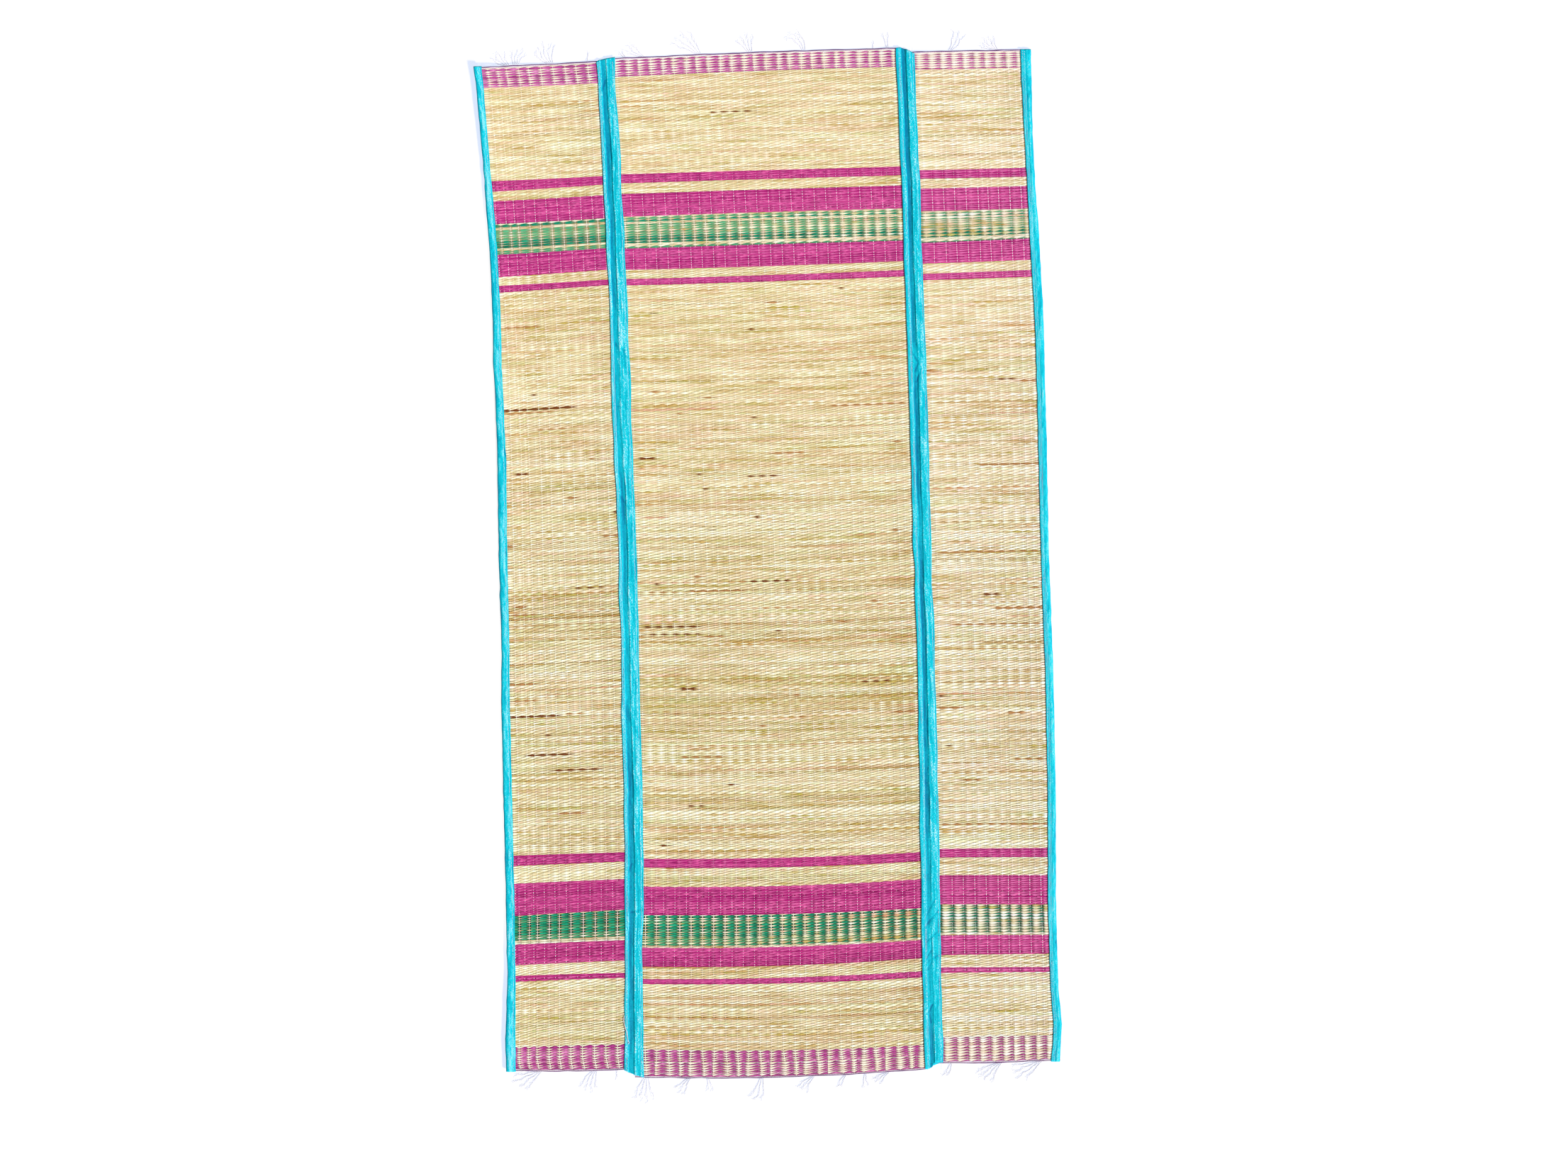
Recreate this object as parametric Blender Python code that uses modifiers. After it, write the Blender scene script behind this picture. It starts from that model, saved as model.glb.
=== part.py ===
"""Three-fold grass sleeping mat, lying open and flat on a floor.

Three woven reed panels lie side by side. A cloth tape joins each outer panel to the centre one
and is its fold line. A strip of the same cloth is folded over each long outer edge. At both short
ends of each panel the last reed carries loose tufts of warp thread.

X runs across the mat, +Y along it towards the end that is at the top of the picture, and +Z up.
The origin is on the floor, under the middle of the mat's box.
"""

import math

import bmesh
import bpy

MM = 0.001

# Thicknesses and clearances, in metres
REED_THICKNESS = 2.0 * MM
CLOTH_THICKNESS = 1.0 * MM
CLEARANCE = 0.3 * MM

# The reed panels lie between two layers of cloth along their long edges
RAISED_UNDERSIDE = CLOTH_THICKNESS + CLEARANCE
UPPER_CLOTH_UNDERSIDE = RAISED_UNDERSIDE + REED_THICKNESS + CLEARANCE
CLOTH_TOP = UPPER_CLOTH_UNDERSIDE + CLOTH_THICKNESS

# Widths across the cloth tapes and edge bindings
TAPE_WIDTH = 33.0 * MM
TAPE_VALLEY_START = 6.5 * MM
TAPE_VALLEY_END = 16.5 * MM
VALLEY_TOP = 2.1 * MM
BINDING_WIDTH = 15.0 * MM
BINDING_FOLD_DEPTH = 2.4 * MM

# Corners of the cloth are cut by this much, and an edge binding turns through these degrees
CLOTH_CORNER = 0.5 * CLOTH_THICKNESS
BINDING_TURN = (90.0, 130.0, 180.0, 230.0, 270.0)

# A panel comes down from the raised cloth edge to the floor over this width
LEVEL_LIP = 3.0 * MM
SETTLE_WIDTH = 45.0 * MM

# Columns of points on each panel's level middle
MIDDLE_COLUMNS = {"left": 1, "centre": 5, "right": 1}

# The last reed of a panel is parted from the woven cloth
END_REED_WIDTH = 3.0 * MM

# A tuft's strand is three-sided, with its flat side on the floor
STRAND_WIDTH = 1.3 * MM
STRAND_HEIGHT = 1.1 * MM
STRAND_PITCH = 2.6 * MM
STRAND_ROOT_DEPTH = 1.5 * MM
STRAND_ROOT_HEIGHT = 0.25 * REED_THICKNESS
STRAND_STUB = 1.0 * MM
STRAND_DROP = 6.0 * MM
STRAND_STEPS = 4
STRAND_SPREAD = math.radians(13.0)

# How much of its length a strand lacks for each place from its tuft's middle, and every other one
OUTER_SHORTAGE = 0.09
OTHER_SHORTAGE = 0.06

# The mat's long lines, from the far end to the near end, in millimetres. "left" and "right" are
# the outer edges, the tapes' columns are each tape's left edge, and "lift" is how far the left
# edge stands off the floor.
LINE_COLUMNS = ("y", "left", "left_tape", "right_tape", "right", "lift")
LINES_MM = (
    (940.0, -503.0, -284.0, 252.0, 491.5, 9.0),
    (760.0, -495.0, -279.5, 253.5, 494.5, 3.5),
    (600.0, -488.0, -275.0, 256.0, 498.0, 1.2),
    (400.0, -483.0, -272.5, 257.5, 502.0, 0.4),
    (200.0, -481.5, -271.5, 257.5, 502.5, 0.0),
    (0.0, -484.0, -270.0, 257.5, 501.5, 0.0),
    (-200.0, -486.5, -271.0, 257.5, 501.5, 0.0),
    (-400.0, -488.5, -272.5, 257.0, 499.5, 0.4),
    (-600.0, -491.5, -276.0, 254.0, 496.0, 1.6),
    (-760.0, -496.0, -281.5, 251.5, 495.5, 4.5),
    (-940.0, -503.0, -286.5, 250.0, 494.0, 4.0),
)

# Each panel's two ends, in millimetres: where the end meets the panel's left and right edges, and
# how far its middle bows outwards beyond the straight line
END_COLUMNS = ("panel", "end", "left_y", "right_y", "bow")
PANEL_ENDS_MM = (
    ("left", "top", 903.5, 910.0, 0.5),
    ("left", "bottom", -890.5, -896.0, -2.5),
    ("centre", "top", 913.5, 917.5, 2.5),
    ("centre", "bottom", -910.0, -911.0, -8.0),
    ("right", "top", 909.5, 907.0, 1.5),
    ("right", "bottom", -900.5, -902.0, -2.5),
)

# The cloth pieces end a little past the reeds, in millimetres, at their left and right sides
CLOTH_COLUMNS = ("piece", "top_left", "top_right", "bottom_left", "bottom_right")
CLOTH_ENDS_MM = (
    ("binding_left", 904.5, 904.5, -892.0, -892.5),
    ("hinge_left", 911.0, 916.0, -898.0, -911.5),
    ("hinge_right", 920.0, 911.0, -912.5, -902.0),
    ("binding_right", 908.0, 907.5, -903.5, -904.0),
)

# Tufts of loose warp thread: place across the mat in millimetres, lean from straight out and
# further bend in degrees (plus is towards +X), length in millimetres, and number of strands
TUFT_COLUMNS = ("panel", "end", "x", "lean", "bend", "length", "strands")
TUFTS = (
    ("left", "top", -443.0, -50.0, 20.0, 34.0, 4),
    ("left", "top", -428.0, 8.0, 12.0, 31.0, 4),
    ("left", "top", -366.0, -38.0, 60.0, 44.0, 5),
    ("left", "top", -300.0, 6.0, 0.0, 18.0, 1),
    ("centre", "top", -232.0, -40.0, -10.0, 17.0, 2),
    ("centre", "top", -200.0, -62.0, 20.0, 36.0, 3),
    ("centre", "top", -100.0, -42.0, -14.0, 55.0, 4),
    ("centre", "top", -8.0, -24.0, 10.0, 36.0, 4),
    ("centre", "top", 88.0, -16.0, -60.0, 42.0, 3),
    ("centre", "top", 212.0, 0.0, 5.0, 12.0, 1),
    ("centre", "top", 238.0, -10.0, 8.0, 30.0, 2),
    ("right", "top", 350.0, 40.0, -42.0, 40.0, 3),
    ("right", "top", 430.0, -50.0, 12.0, 30.0, 5),
    ("left", "bottom", -440.0, -66.0, -8.0, 52.0, 5),
    ("left", "bottom", -340.0, -32.0, 30.0, 42.0, 4),
    ("left", "bottom", -300.0, -8.0, 4.0, 15.0, 1),
    ("centre", "bottom", -248.0, -14.0, 12.0, 46.0, 4),
    ("centre", "bottom", -172.0, -44.0, 14.0, 32.0, 3),
    ("centre", "bottom", -138.0, 14.0, -30.0, 24.0, 2),
    ("centre", "bottom", -42.0, -10.0, -26.0, 42.0, 3),
    ("centre", "bottom", 50.0, -50.0, 14.0, 34.0, 3),
    ("centre", "bottom", 108.0, -36.0, 12.0, 24.0, 2),
    ("centre", "bottom", 144.0, -6.0, 16.0, 25.0, 2),
    ("centre", "bottom", 184.0, -58.0, 6.0, 28.0, 3),
    ("right", "bottom", 298.0, -20.0, -30.0, 26.0, 2),
    ("right", "bottom", 384.0, -54.0, 8.0, 46.0, 4),
    ("right", "bottom", 456.0, -62.0, -4.0, 54.0, 4),
)

# Colour, roughness and metallic value of each material
STRAW = ("straw", (0.80, 0.66, 0.40, 1.0), 0.55, 0.0)
CLOTH = ("cloth", (0.03, 0.53, 0.66, 1.0), 0.80, 0.0)
THREAD = ("thread", (0.80, 0.78, 0.86, 1.0), 0.85, 0.0)

OUTWARD = {"top": 1.0, "bottom": -1.0}


def named_rows(columns, rows):
    """Turn a table of plain rows into dictionaries keyed by its column names."""
    return [dict(zip(columns, row)) for row in rows]


LINES = named_rows(LINE_COLUMNS, LINES_MM)
PANEL_ENDS = {(row["panel"], row["end"]): row for row in named_rows(END_COLUMNS, PANEL_ENDS_MM)}
CLOTH_ENDS = {row["piece"]: row for row in named_rows(CLOTH_COLUMNS, CLOTH_ENDS_MM)}
TUFT_ROWS = named_rows(TUFT_COLUMNS, TUFTS)


def line_at(name, y):
    """Read one of the mat's long lines at a place along it, straight between and past its rows."""
    pairs = list(zip(LINES, LINES[1:]))
    upper, lower = next((pair for pair in pairs if y >= pair[1]["y"] * MM), pairs[-1])
    share = (y / MM - lower["y"]) / (upper["y"] - lower["y"])
    return (lower[name] + (upper[name] - lower[name]) * share) * MM


def lift_at(x, y):
    """Height that the mat's left part stands off the floor, from nothing at its fold line."""
    fold = line_at("left_tape", y)
    edge = line_at("left", y)
    share = max(0.0, (fold - x) / (fold - edge))
    return line_at("lift", y) * share * share


def panel_edges(panel, y):
    """The left and right edges of a panel's reeds, inside the cloth that grips them."""
    left_stop = TAPE_VALLEY_START - CLOTH_THICKNESS - CLEARANCE
    right_stop = TAPE_VALLEY_END + CLOTH_THICKNESS + CLEARANCE
    if panel == "left":
        return line_at("left", y) + BINDING_FOLD_DEPTH, line_at("left_tape", y) + left_stop
    if panel == "centre":
        return line_at("left_tape", y) + right_stop, line_at("right_tape", y) + left_stop
    return line_at("right_tape", y) + right_stop, line_at("right", y) - BINDING_FOLD_DEPTH


def panel_grips(panel):
    """How far the cloth covers a panel at its left and at its right edge."""
    in_binding = BINDING_WIDTH - BINDING_FOLD_DEPTH
    in_land = TAPE_VALLEY_START - CLOTH_THICKNESS - CLEARANCE
    in_wide_land = TAPE_WIDTH - TAPE_VALLEY_END - CLOTH_THICKNESS - CLEARANCE
    return {
        "left": (in_binding, in_land),
        "centre": (in_wide_land, in_land),
        "right": (in_wide_land, in_binding),
    }[panel]


def panel_end(panel, end, share):
    """Place along the mat of a panel's end, at a share of the way across the panel."""
    row = PANEL_ENDS[(panel, end)]
    straight = row["left_y"] + (row["right_y"] - row["left_y"]) * share
    return (straight + row["bow"] * 4.0 * share * (1.0 - share)) * MM


def smooth_step(value):
    """Ease from 0 to 1 with level ends."""
    value = min(1.0, max(0.0, value))
    return value * value * (3.0 - 2.0 * value)


def underside(panel, x, y):
    """Height of a panel's underside: raised in the cloth, and on the floor further in."""
    left, right = panel_edges(panel, y)
    grip_left, grip_right = panel_grips(panel)
    inward = min(x - left - grip_left, right - grip_right - x) - LEVEL_LIP
    settled = smooth_step(inward / (SETTLE_WIDTH - LEVEL_LIP))
    return RAISED_UNDERSIDE * (1.0 - settled) + lift_at(x, y)


def panel_columns(panel):
    """Places across a panel as (distance, share): from its left edge, or from its right one."""
    grip_left, grip_right = panel_grips(panel)
    steps = (LEVEL_LIP, 0.5 * SETTLE_WIDTH, SETTLE_WIDTH)
    near_left = [(0.0, 0.0)] + [(grip_left + step, 0.0) for step in steps]
    near_right = [(-grip_right - step, 1.0) for step in reversed(steps)] + [(0.0, 1.0)]
    count = MIDDLE_COLUMNS[panel]
    middle = [(0.0, (index + 1) / (count + 1)) for index in range(count)]
    return near_left + middle + near_right


def column_x(panel, column, y):
    """Place across the mat of one of a panel's columns."""
    distance, share = column
    left, right = panel_edges(panel, y)
    return left + (right - left) * share + distance


def add_material(thing, look):
    """Give an object its own plain material."""
    name, colour, roughness, metallic = look
    material = bpy.data.materials.new(f"{thing.name}_{name}")
    material.use_nodes = True
    shader = material.node_tree.nodes["Principled BSDF"]
    shader.inputs["Base Color"].default_value = colour
    shader.inputs["Roughness"].default_value = roughness
    shader.inputs["Metallic"].default_value = metallic
    material.diffuse_color = colour
    thing.data.materials.append(material)


def add_object(name, shape, look, collection):
    """Turn a finished bmesh into a named object with a material."""
    mesh = bpy.data.meshes.new(name)
    shape.to_mesh(mesh)
    shape.free()
    thing = bpy.data.objects.new(name, mesh)
    collection.objects.link(thing)
    add_material(thing, look)
    return thing


def add_sheet(name, panel, columns, row_places, thickness, look, collection):
    """A thin sheet that lies at a panel's height, thickened upwards from its underside."""
    across = len(columns) - 1
    along = len(row_places) - 1
    shape = bmesh.new()
    bmesh.ops.create_grid(shape, x_segments=across, y_segments=along, size=0.5)
    for point in shape.verts:
        column = columns[round((point.co.x + 0.5) * across)]
        row = row_places[round((point.co.y + 0.5) * along)]
        y = row(column)
        x = column_x(panel, column, y)
        point.co = (x, y, underside(panel, x, y))
    thing = add_object(name, shape, look, collection)
    solid = thing.modifiers.new("Thickness", "SOLIDIFY")
    solid.thickness = thickness
    solid.offset = 1.0
    return thing


def end_row(panel, end, inset):
    """A row of a sheet that follows a panel's end, set in from it."""
    def place(column):
        middle_y = panel_end(panel, end, 0.5)
        left, right = panel_edges(panel, middle_y)
        share = (column_x(panel, column, middle_y) - left) / (right - left)
        return panel_end(panel, end, share) - OUTWARD[end] * inset
    return place


def straight_row(y):
    """A row of a sheet that lies straight across the mat."""
    return lambda column: y


def add_panel(panel, collection):
    """One woven reed panel, without its last reed at each end."""
    inset = END_REED_WIDTH + CLEARANCE
    inner = [row["y"] * MM for row in LINES[1:-1]]
    rows = [end_row(panel, "bottom", inset)]
    rows += [straight_row(y) for y in sorted(inner)]
    rows += [end_row(panel, "top", inset)]
    name = f"panel_{panel}"
    columns = panel_columns(panel)
    return add_sheet(name, panel, columns, rows, REED_THICKNESS, STRAW, collection)


def loft(shape, rings):
    """Extrude a closed outline through a row of rings that have the same number of points."""
    face = shape.faces.new([shape.verts.new(place) for place in rings[0]])
    for number, ring in enumerate(rings[1:]):
        grown = bmesh.ops.extrude_face_region(shape, geom=[face])["geom"]
        if number:
            bmesh.ops.delete(shape, geom=[face], context="FACES_ONLY")
        face = next(item for item in grown if isinstance(item, bmesh.types.BMFace))
        for loop, place in zip(face.loops, ring):
            loop.vert.co = place


def cloth_rows(piece):
    """The sections of a cloth piece as functions of the place across it, near end first."""
    row = CLOTH_ENDS[piece]

    def sloped(end):
        return lambda share: (row[f"{end}_left"] * (1.0 - share) + row[f"{end}_right"] * share) * MM

    inner = sorted(line["y"] * MM for line in LINES[1:-1])
    return [sloped("bottom")] + [lambda share, y=y: y for y in inner] + [sloped("top")]


def add_cloth_strip(name, outline, edge_line, width, mirrored, collection):
    """A long strip of folded cloth: its cross-section drawn along one of the mat's long lines."""
    shape = bmesh.new()
    rings = []
    for row in cloth_rows(name):
        ring = []
        for across, z in outline:
            share = 1.0 - across / width if mirrored else across / width
            y = row(share)
            edge = line_at(edge_line, y)
            x = edge - across if mirrored else edge + across
            ring.append((x, y, z + lift_at(x, y)))
        rings.append(ring)
    loft(shape, rings)
    bmesh.ops.recalc_face_normals(shape, faces=shape.faces)
    return add_object(name, shape, CLOTH, collection)


def hinge_outline():
    """Cross-section of a hinge tape: two layers of cloth, sewn to each other along a valley."""
    wall = CLOTH_THICKNESS
    corner = CLOTH_CORNER
    left_wall = TAPE_VALLEY_START
    right_wall = TAPE_VALLEY_END
    left_arm = [
        (left_wall - wall, CLOTH_THICKNESS),
        (left_wall - wall, UPPER_CLOTH_UNDERSIDE),
        (0.0, UPPER_CLOTH_UNDERSIDE),
        (0.0, CLOTH_TOP - corner),
        (corner, CLOTH_TOP),
        (left_wall - corner, CLOTH_TOP),
    ]
    valley = [
        (left_wall + wall, VALLEY_TOP),
        (right_wall - wall, VALLEY_TOP),
    ]
    right_arm = [
        (right_wall + corner, CLOTH_TOP),
        (TAPE_WIDTH - corner, CLOTH_TOP),
        (TAPE_WIDTH, CLOTH_TOP - corner),
        (TAPE_WIDTH, UPPER_CLOTH_UNDERSIDE),
        (right_wall + wall, UPPER_CLOTH_UNDERSIDE),
        (right_wall + wall, CLOTH_THICKNESS),
    ]
    floor = [(TAPE_WIDTH, CLOTH_THICKNESS), (TAPE_WIDTH, 0.0), (0.0, 0.0), (0.0, CLOTH_THICKNESS)]
    return left_arm + valley + right_arm + floor


def binding_outline():
    """Cross-section of an edge binding: one strip of cloth folded round the reeds' edge."""
    middle = 0.5 * CLOTH_TOP
    inner = middle - CLOTH_THICKNESS
    turn = [math.radians(angle) for angle in BINDING_TURN]
    outer_arc = [(middle + middle * math.cos(a), middle + middle * math.sin(a)) for a in turn]
    inner_arc = [(middle + inner * math.cos(a), middle + inner * math.sin(a)) for a in turn]
    upper_rim = [(BINDING_WIDTH, UPPER_CLOTH_UNDERSIDE), (BINDING_WIDTH, CLOTH_TOP)]
    lower_rim = [(BINDING_WIDTH, 0.0), (BINDING_WIDTH, CLOTH_THICKNESS)]
    return upper_rim + outer_arc + lower_rim + inner_arc[::-1]


def strand_path(tuft, index):
    """One strand's line on the floor plan, as (x, distance along Y, heading) from its root."""
    middle = 0.5 * (tuft["strands"] - 1)
    offset = index - middle
    lean = math.radians(tuft["lean"]) + offset * STRAND_SPREAD
    bend = math.radians(tuft["bend"])
    shortage = OUTER_SHORTAGE * abs(offset) + OTHER_SHORTAGE * (index % 2)
    length = tuft["length"] * MM * (1.0 - shortage)
    outward = OUTWARD[tuft["end"]]
    x = tuft["x"] * MM + offset * STRAND_PITCH
    out = STRAND_ROOT_DEPTH + STRAND_STUB
    points = [(x, 0.0, 0.0), (x, out, 0.0)]
    later_run = (length - STRAND_STUB - STRAND_DROP) / (STRAND_STEPS - 1)
    for step in range(STRAND_STEPS):
        heading = lean + bend * step / (STRAND_STEPS - 1)
        run = later_run if step else STRAND_DROP
        x += run * math.sin(heading)
        out += run * math.cos(heading)
        points.append((x, out, heading))
    return [(px, outward * distance, outward * heading) for px, distance, heading in points]


def strand_rings(tuft, index):
    """Three-cornered rings of a strand, which leaves the reed's end face and comes to the floor."""
    panel, end = tuft["panel"], tuft["end"]
    path = strand_path(tuft, index)
    root_x = path[0][0]
    middle_y = panel_end(panel, end, 0.5)
    left, right = panel_edges(panel, middle_y)
    end_y = panel_end(panel, end, (root_x - left) / (right - left))
    root_y = end_y - OUTWARD[end] * STRAND_ROOT_DEPTH
    root_z = underside(panel, root_x, end_y) + STRAND_ROOT_HEIGHT
    rings = []
    for number, (x, y, heading) in enumerate(path):
        in_reed = number < 2
        z = root_z if in_reed else 0.0
        side_x = 0.5 * STRAND_WIDTH * math.cos(heading)
        side_y = -0.5 * STRAND_WIDTH * math.sin(heading)
        place_y = root_y + y
        rings.append((
            (x - side_x, place_y - side_y, z),
            (x + side_x, place_y + side_y, z),
            (x, place_y, z + STRAND_HEIGHT),
        ))
    return rings


def add_fringe(panel, end, collection, cutters):
    """The last reed of a panel, with its tufts of thread fused to it."""
    columns = panel_columns(panel)
    rows = [end_row(panel, end, END_REED_WIDTH), end_row(panel, end, 0.0)]
    if end == "bottom":
        rows.reverse()
    name = f"fringe_{end}_{panel}"
    reed = add_sheet(name, panel, columns, rows, REED_THICKNESS, THREAD, collection)
    strands = bmesh.new()
    for tuft in TUFT_ROWS:
        if (tuft["panel"], tuft["end"]) == (panel, end):
            for index in range(tuft["strands"]):
                loft(strands, strand_rings(tuft, index))
    bmesh.ops.recalc_face_normals(strands, faces=strands.faces)
    cutter = add_object(f"{name}_strands", strands, THREAD, cutters)
    cutter.hide_render = True
    cutter.display_type = "WIRE"
    join = reed.modifiers.new("Strands", "BOOLEAN")
    join.operation = "UNION"
    join.solver = "EXACT"
    join.object = cutter
    return reed


def clear_scene():
    """Remove the objects that the file opened with."""
    for thing in list(bpy.data.objects):
        bpy.data.objects.remove(thing, do_unlink=True)


def new_collection(name):
    """A collection linked to the scene."""
    collection = bpy.data.collections.new(name)
    bpy.context.scene.collection.children.link(collection)
    return collection


def main():
    """Build the whole mat."""
    clear_scene()
    mat = new_collection("sleeping_mat")
    cutters = new_collection("cutters")
    for panel in ("left", "centre", "right"):
        add_panel(panel, mat)
        for end in ("top", "bottom"):
            add_fringe(panel, end, mat, cutters)
    hinge = hinge_outline()
    binding = binding_outline()
    add_cloth_strip("hinge_left", hinge, "left_tape", TAPE_WIDTH, False, mat)
    add_cloth_strip("hinge_right", hinge, "right_tape", TAPE_WIDTH, False, mat)
    add_cloth_strip("binding_left", binding, "left", BINDING_WIDTH, False, mat)
    add_cloth_strip("binding_right", binding, "right", BINDING_WIDTH, True, mat)


main()
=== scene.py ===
"""Looks of the three-fold grass sleeping mat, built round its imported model.

Every reed of the three woven panels is a piece of geometry that passes over and under the warp
threads. The cloth tapes and edge bindings are thin puckered sheets with sewn stitches, and the
ends carry loose reeds and twisted tufts of thread. Everything is in metres in the model's frame:
X across the mat, +Y towards the end at the top of the picture and +Z up.
"""

import math

import bpy
import numpy as np
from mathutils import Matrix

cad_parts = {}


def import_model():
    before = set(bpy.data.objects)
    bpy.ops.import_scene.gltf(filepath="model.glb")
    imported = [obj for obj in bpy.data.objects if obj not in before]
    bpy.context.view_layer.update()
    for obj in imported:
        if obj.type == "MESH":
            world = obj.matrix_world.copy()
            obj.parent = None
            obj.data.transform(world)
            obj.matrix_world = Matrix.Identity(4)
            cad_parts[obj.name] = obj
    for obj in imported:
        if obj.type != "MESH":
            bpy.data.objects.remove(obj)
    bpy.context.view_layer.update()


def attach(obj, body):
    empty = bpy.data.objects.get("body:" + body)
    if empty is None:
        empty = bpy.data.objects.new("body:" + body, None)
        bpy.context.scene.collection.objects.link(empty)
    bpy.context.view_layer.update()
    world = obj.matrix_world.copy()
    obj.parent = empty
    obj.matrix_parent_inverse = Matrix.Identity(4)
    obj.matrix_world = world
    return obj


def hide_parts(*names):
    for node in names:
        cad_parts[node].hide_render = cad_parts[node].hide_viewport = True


MM = 0.001

# Thicknesses and clearances, as in the model
REED_THICKNESS = 2.0 * MM
CLOTH_THICKNESS = 1.0 * MM
CLEARANCE = 0.3 * MM
RAISED_UNDERSIDE = CLOTH_THICKNESS + CLEARANCE

# Widths of the cloth tapes and bindings, as in the model
TAPE_WIDTH = 33.0 * MM
TAPE_VALLEY_START = 6.5 * MM
TAPE_VALLEY_END = 16.5 * MM
BINDING_WIDTH = 15.0 * MM
BINDING_FOLD_DEPTH = 2.4 * MM
LEVEL_LIP = 3.0 * MM
SETTLE_WIDTH = 45.0 * MM
END_REED_WIDTH = 3.0 * MM

# The mat's long lines in millimetres, from the near end to the far end
LINE_COLUMNS = ("y", "left", "left_tape", "right_tape", "right", "lift")
LINES_MM = (
    (-940, -503, -286.5, 250, 494, 4),
    (-760, -496, -281.5, 251.5, 495.5, 4.5),
    (-600, -491.5, -276, 254, 496, 1.6),
    (-400, -488.5, -272.5, 257, 499.5, 0.4),
    (-200, -486.5, -271, 257.5, 501.5, 0),
    (0, -484, -270, 257.5, 501.5, 0),
    (200, -481.5, -271.5, 257.5, 502.5, 0),
    (400, -483, -272.5, 257.5, 502, 0.4),
    (600, -488, -275, 256, 498, 1.2),
    (760, -495, -279.5, 253.5, 494.5, 3.5),
    (940, -503, -284, 252, 491.5, 9),
)
LINES = {name: np.array(values) * MM for name, values in zip(LINE_COLUMNS, zip(*LINES_MM))}

# Lines across the mat in millimetres, far end first: where each one meets the left and right edge
# of the left, centre and right panels, and how far its middle bows from straight in the centre
# one. In an outer panel only the two ends bow, far end first
CROSS_COLUMNS = ("left_l", "left_r", "centre_l", "centre_r", "bow", "right_l", "right_r")
CROSS_LINES_MM = (
    (903.5, 910, 913.5, 917.5, 2.5, 909.5, 907),
    (866.5, 870.5, 880.5, 884, 2, 878, 875.5),
    (700, 704, 706, 705, 0.5, 697.5, 696.5),
    (681, 689, 690, 689.5, 0.5, 682, 680),
    (664, 670, 671, 671.5, 0.5, 664.5, 663.5),
    (623.5, 629, 630, 630, 1, 624, 623),
    (568, 575, 573, 572.5, 0.5, 567, 570),
    (528, 536.5, 535, 536, -1.5, 530, 531.5),
    (513, 519, 518.5, 520, -1, 512, 513.5),
    (500, 509, 507, 508.5, -1, 500.5, 501),
    (-506.5, -506.5, -518.5, -522, -4.5, -517, -521.5),
    (-525.5, -523, -534, -538, -5.5, -532.5, -538),
    (-557, -554.5, -568, -570, -6, -564, -570.5),
    (-614.5, -608.5, -619, -622, -5, -616, -623),
    (-665.5, -663.5, -677.5, -679, -6, -672, -677.5),
    (-703, -700, -711.5, -711.5, -6.5, -707.5, -711),
    (-721, -722, -734, -735, -5, -729, -735),
    (-732, -731, -742.5, -746, -5.5, -739, -743.5),
    (-848, -849, -858, -866, -6.5, -853.5, -856.5),
    (-890.5, -896, -910, -911, -8, -900.5, -902),
)
OUTER_BOWS_MM = {"left": (0.5, -2.5), "right": (1.5, -2.5)}

# The long lines at the left and right of each panel, how far from them its reeds end in the cloth,
# and how far from them it starts to show
LEFT_STOP = TAPE_VALLEY_START - CLOTH_THICKNESS - CLEARANCE
RIGHT_STOP = TAPE_VALLEY_END + CLOTH_THICKNESS + CLEARANCE
PANEL_SIDES = {
    "left": (("left", BINDING_FOLD_DEPTH, BINDING_WIDTH), ("left_tape", LEFT_STOP, 0.0)),
    "centre": (("left_tape", RIGHT_STOP, TAPE_WIDTH), ("right_tape", LEFT_STOP, 0.0)),
    "right": (
        ("right_tape", RIGHT_STOP, TAPE_WIDTH), ("right", -BINDING_FOLD_DEPTH, -BINDING_WIDTH),
    ),
}

# What is woven between each of the lines across the mat and the next
ZONES = (
    "band", "straw", "magenta", "straw", "magenta", "green", "magenta", "straw", "magenta", "straw",
    "magenta", "straw", "magenta", "green", "magenta", "straw", "magenta", "straw", "band",
)

# Rows of reeds in the green stripes and the bands at the ends, far end first, by number of zone:
# how much more of the row its dyed reed takes up than elsewhere, and how much dye that has lost,
# where 1 is a reed that was never dyed and less than 0 is one that took more dye
ROW_LOOKS = {
    0: (
        (0.00, 0.2), (0.02, 0.1), (-0.08, 0.2), (0.16, 0.0), (0.10, 0.0), (-0.02, 0.1), (-0.06, 0.2),
        (-0.04, 0.1),
    ),
    5: (
        (-0.10, 0.5), (0.22, -0.2), (0.00, 1.0), (0.00, 0.4), (-0.05, 0.5), (-0.08, 0.6), (-0.04, 0.4),
        (0.18, -0.1), (0.26, -0.3), (0.16, -0.3), (0.00, 1.0), (-0.15, 0.3),
    ),
    13: (
        (0.08, 0.0), (0.08, 0.0), (-0.04, 0.3), (0.10, 0.0), (0.20, 0.0), (-0.08, 0.2), (0.04, 0.0),
        (-0.08, 0.0), (-0.22, 0.4), (-0.14, 0.2), (0.00, 1.0),
    ),
    18: (
        (0.05, 0.0), (0.08, 0.0), (0.08, 0.0), (0.05, 0.0), (0.08, 0.0), (-0.22, 0.1), (0.05, 0.1),
        (-0.14, 0.1), (0.02, 0.1), (0.06, 0.0),
    ),
}

# Distance from one reed to the next in each kind of weave
REED_PITCH = {"straw": 2.15 * MM, "magenta": 2.2 * MM, "green": 2.3 * MM, "band": 2.2 * MM}

# A reed's own height, how much wider than the pitch it is made, and how uneven reeds are
REED_HEIGHT = {"straw": 0.72 * MM, "magenta": 1.0 * MM, "green": 0.75 * MM, "band": 0.75 * MM}
REED_OVERLAP = 1.18
UNEVENNESS = 0.14
NOISE_LIMIT = 2.0
REED_STRAY_MM = 0.12

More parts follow.
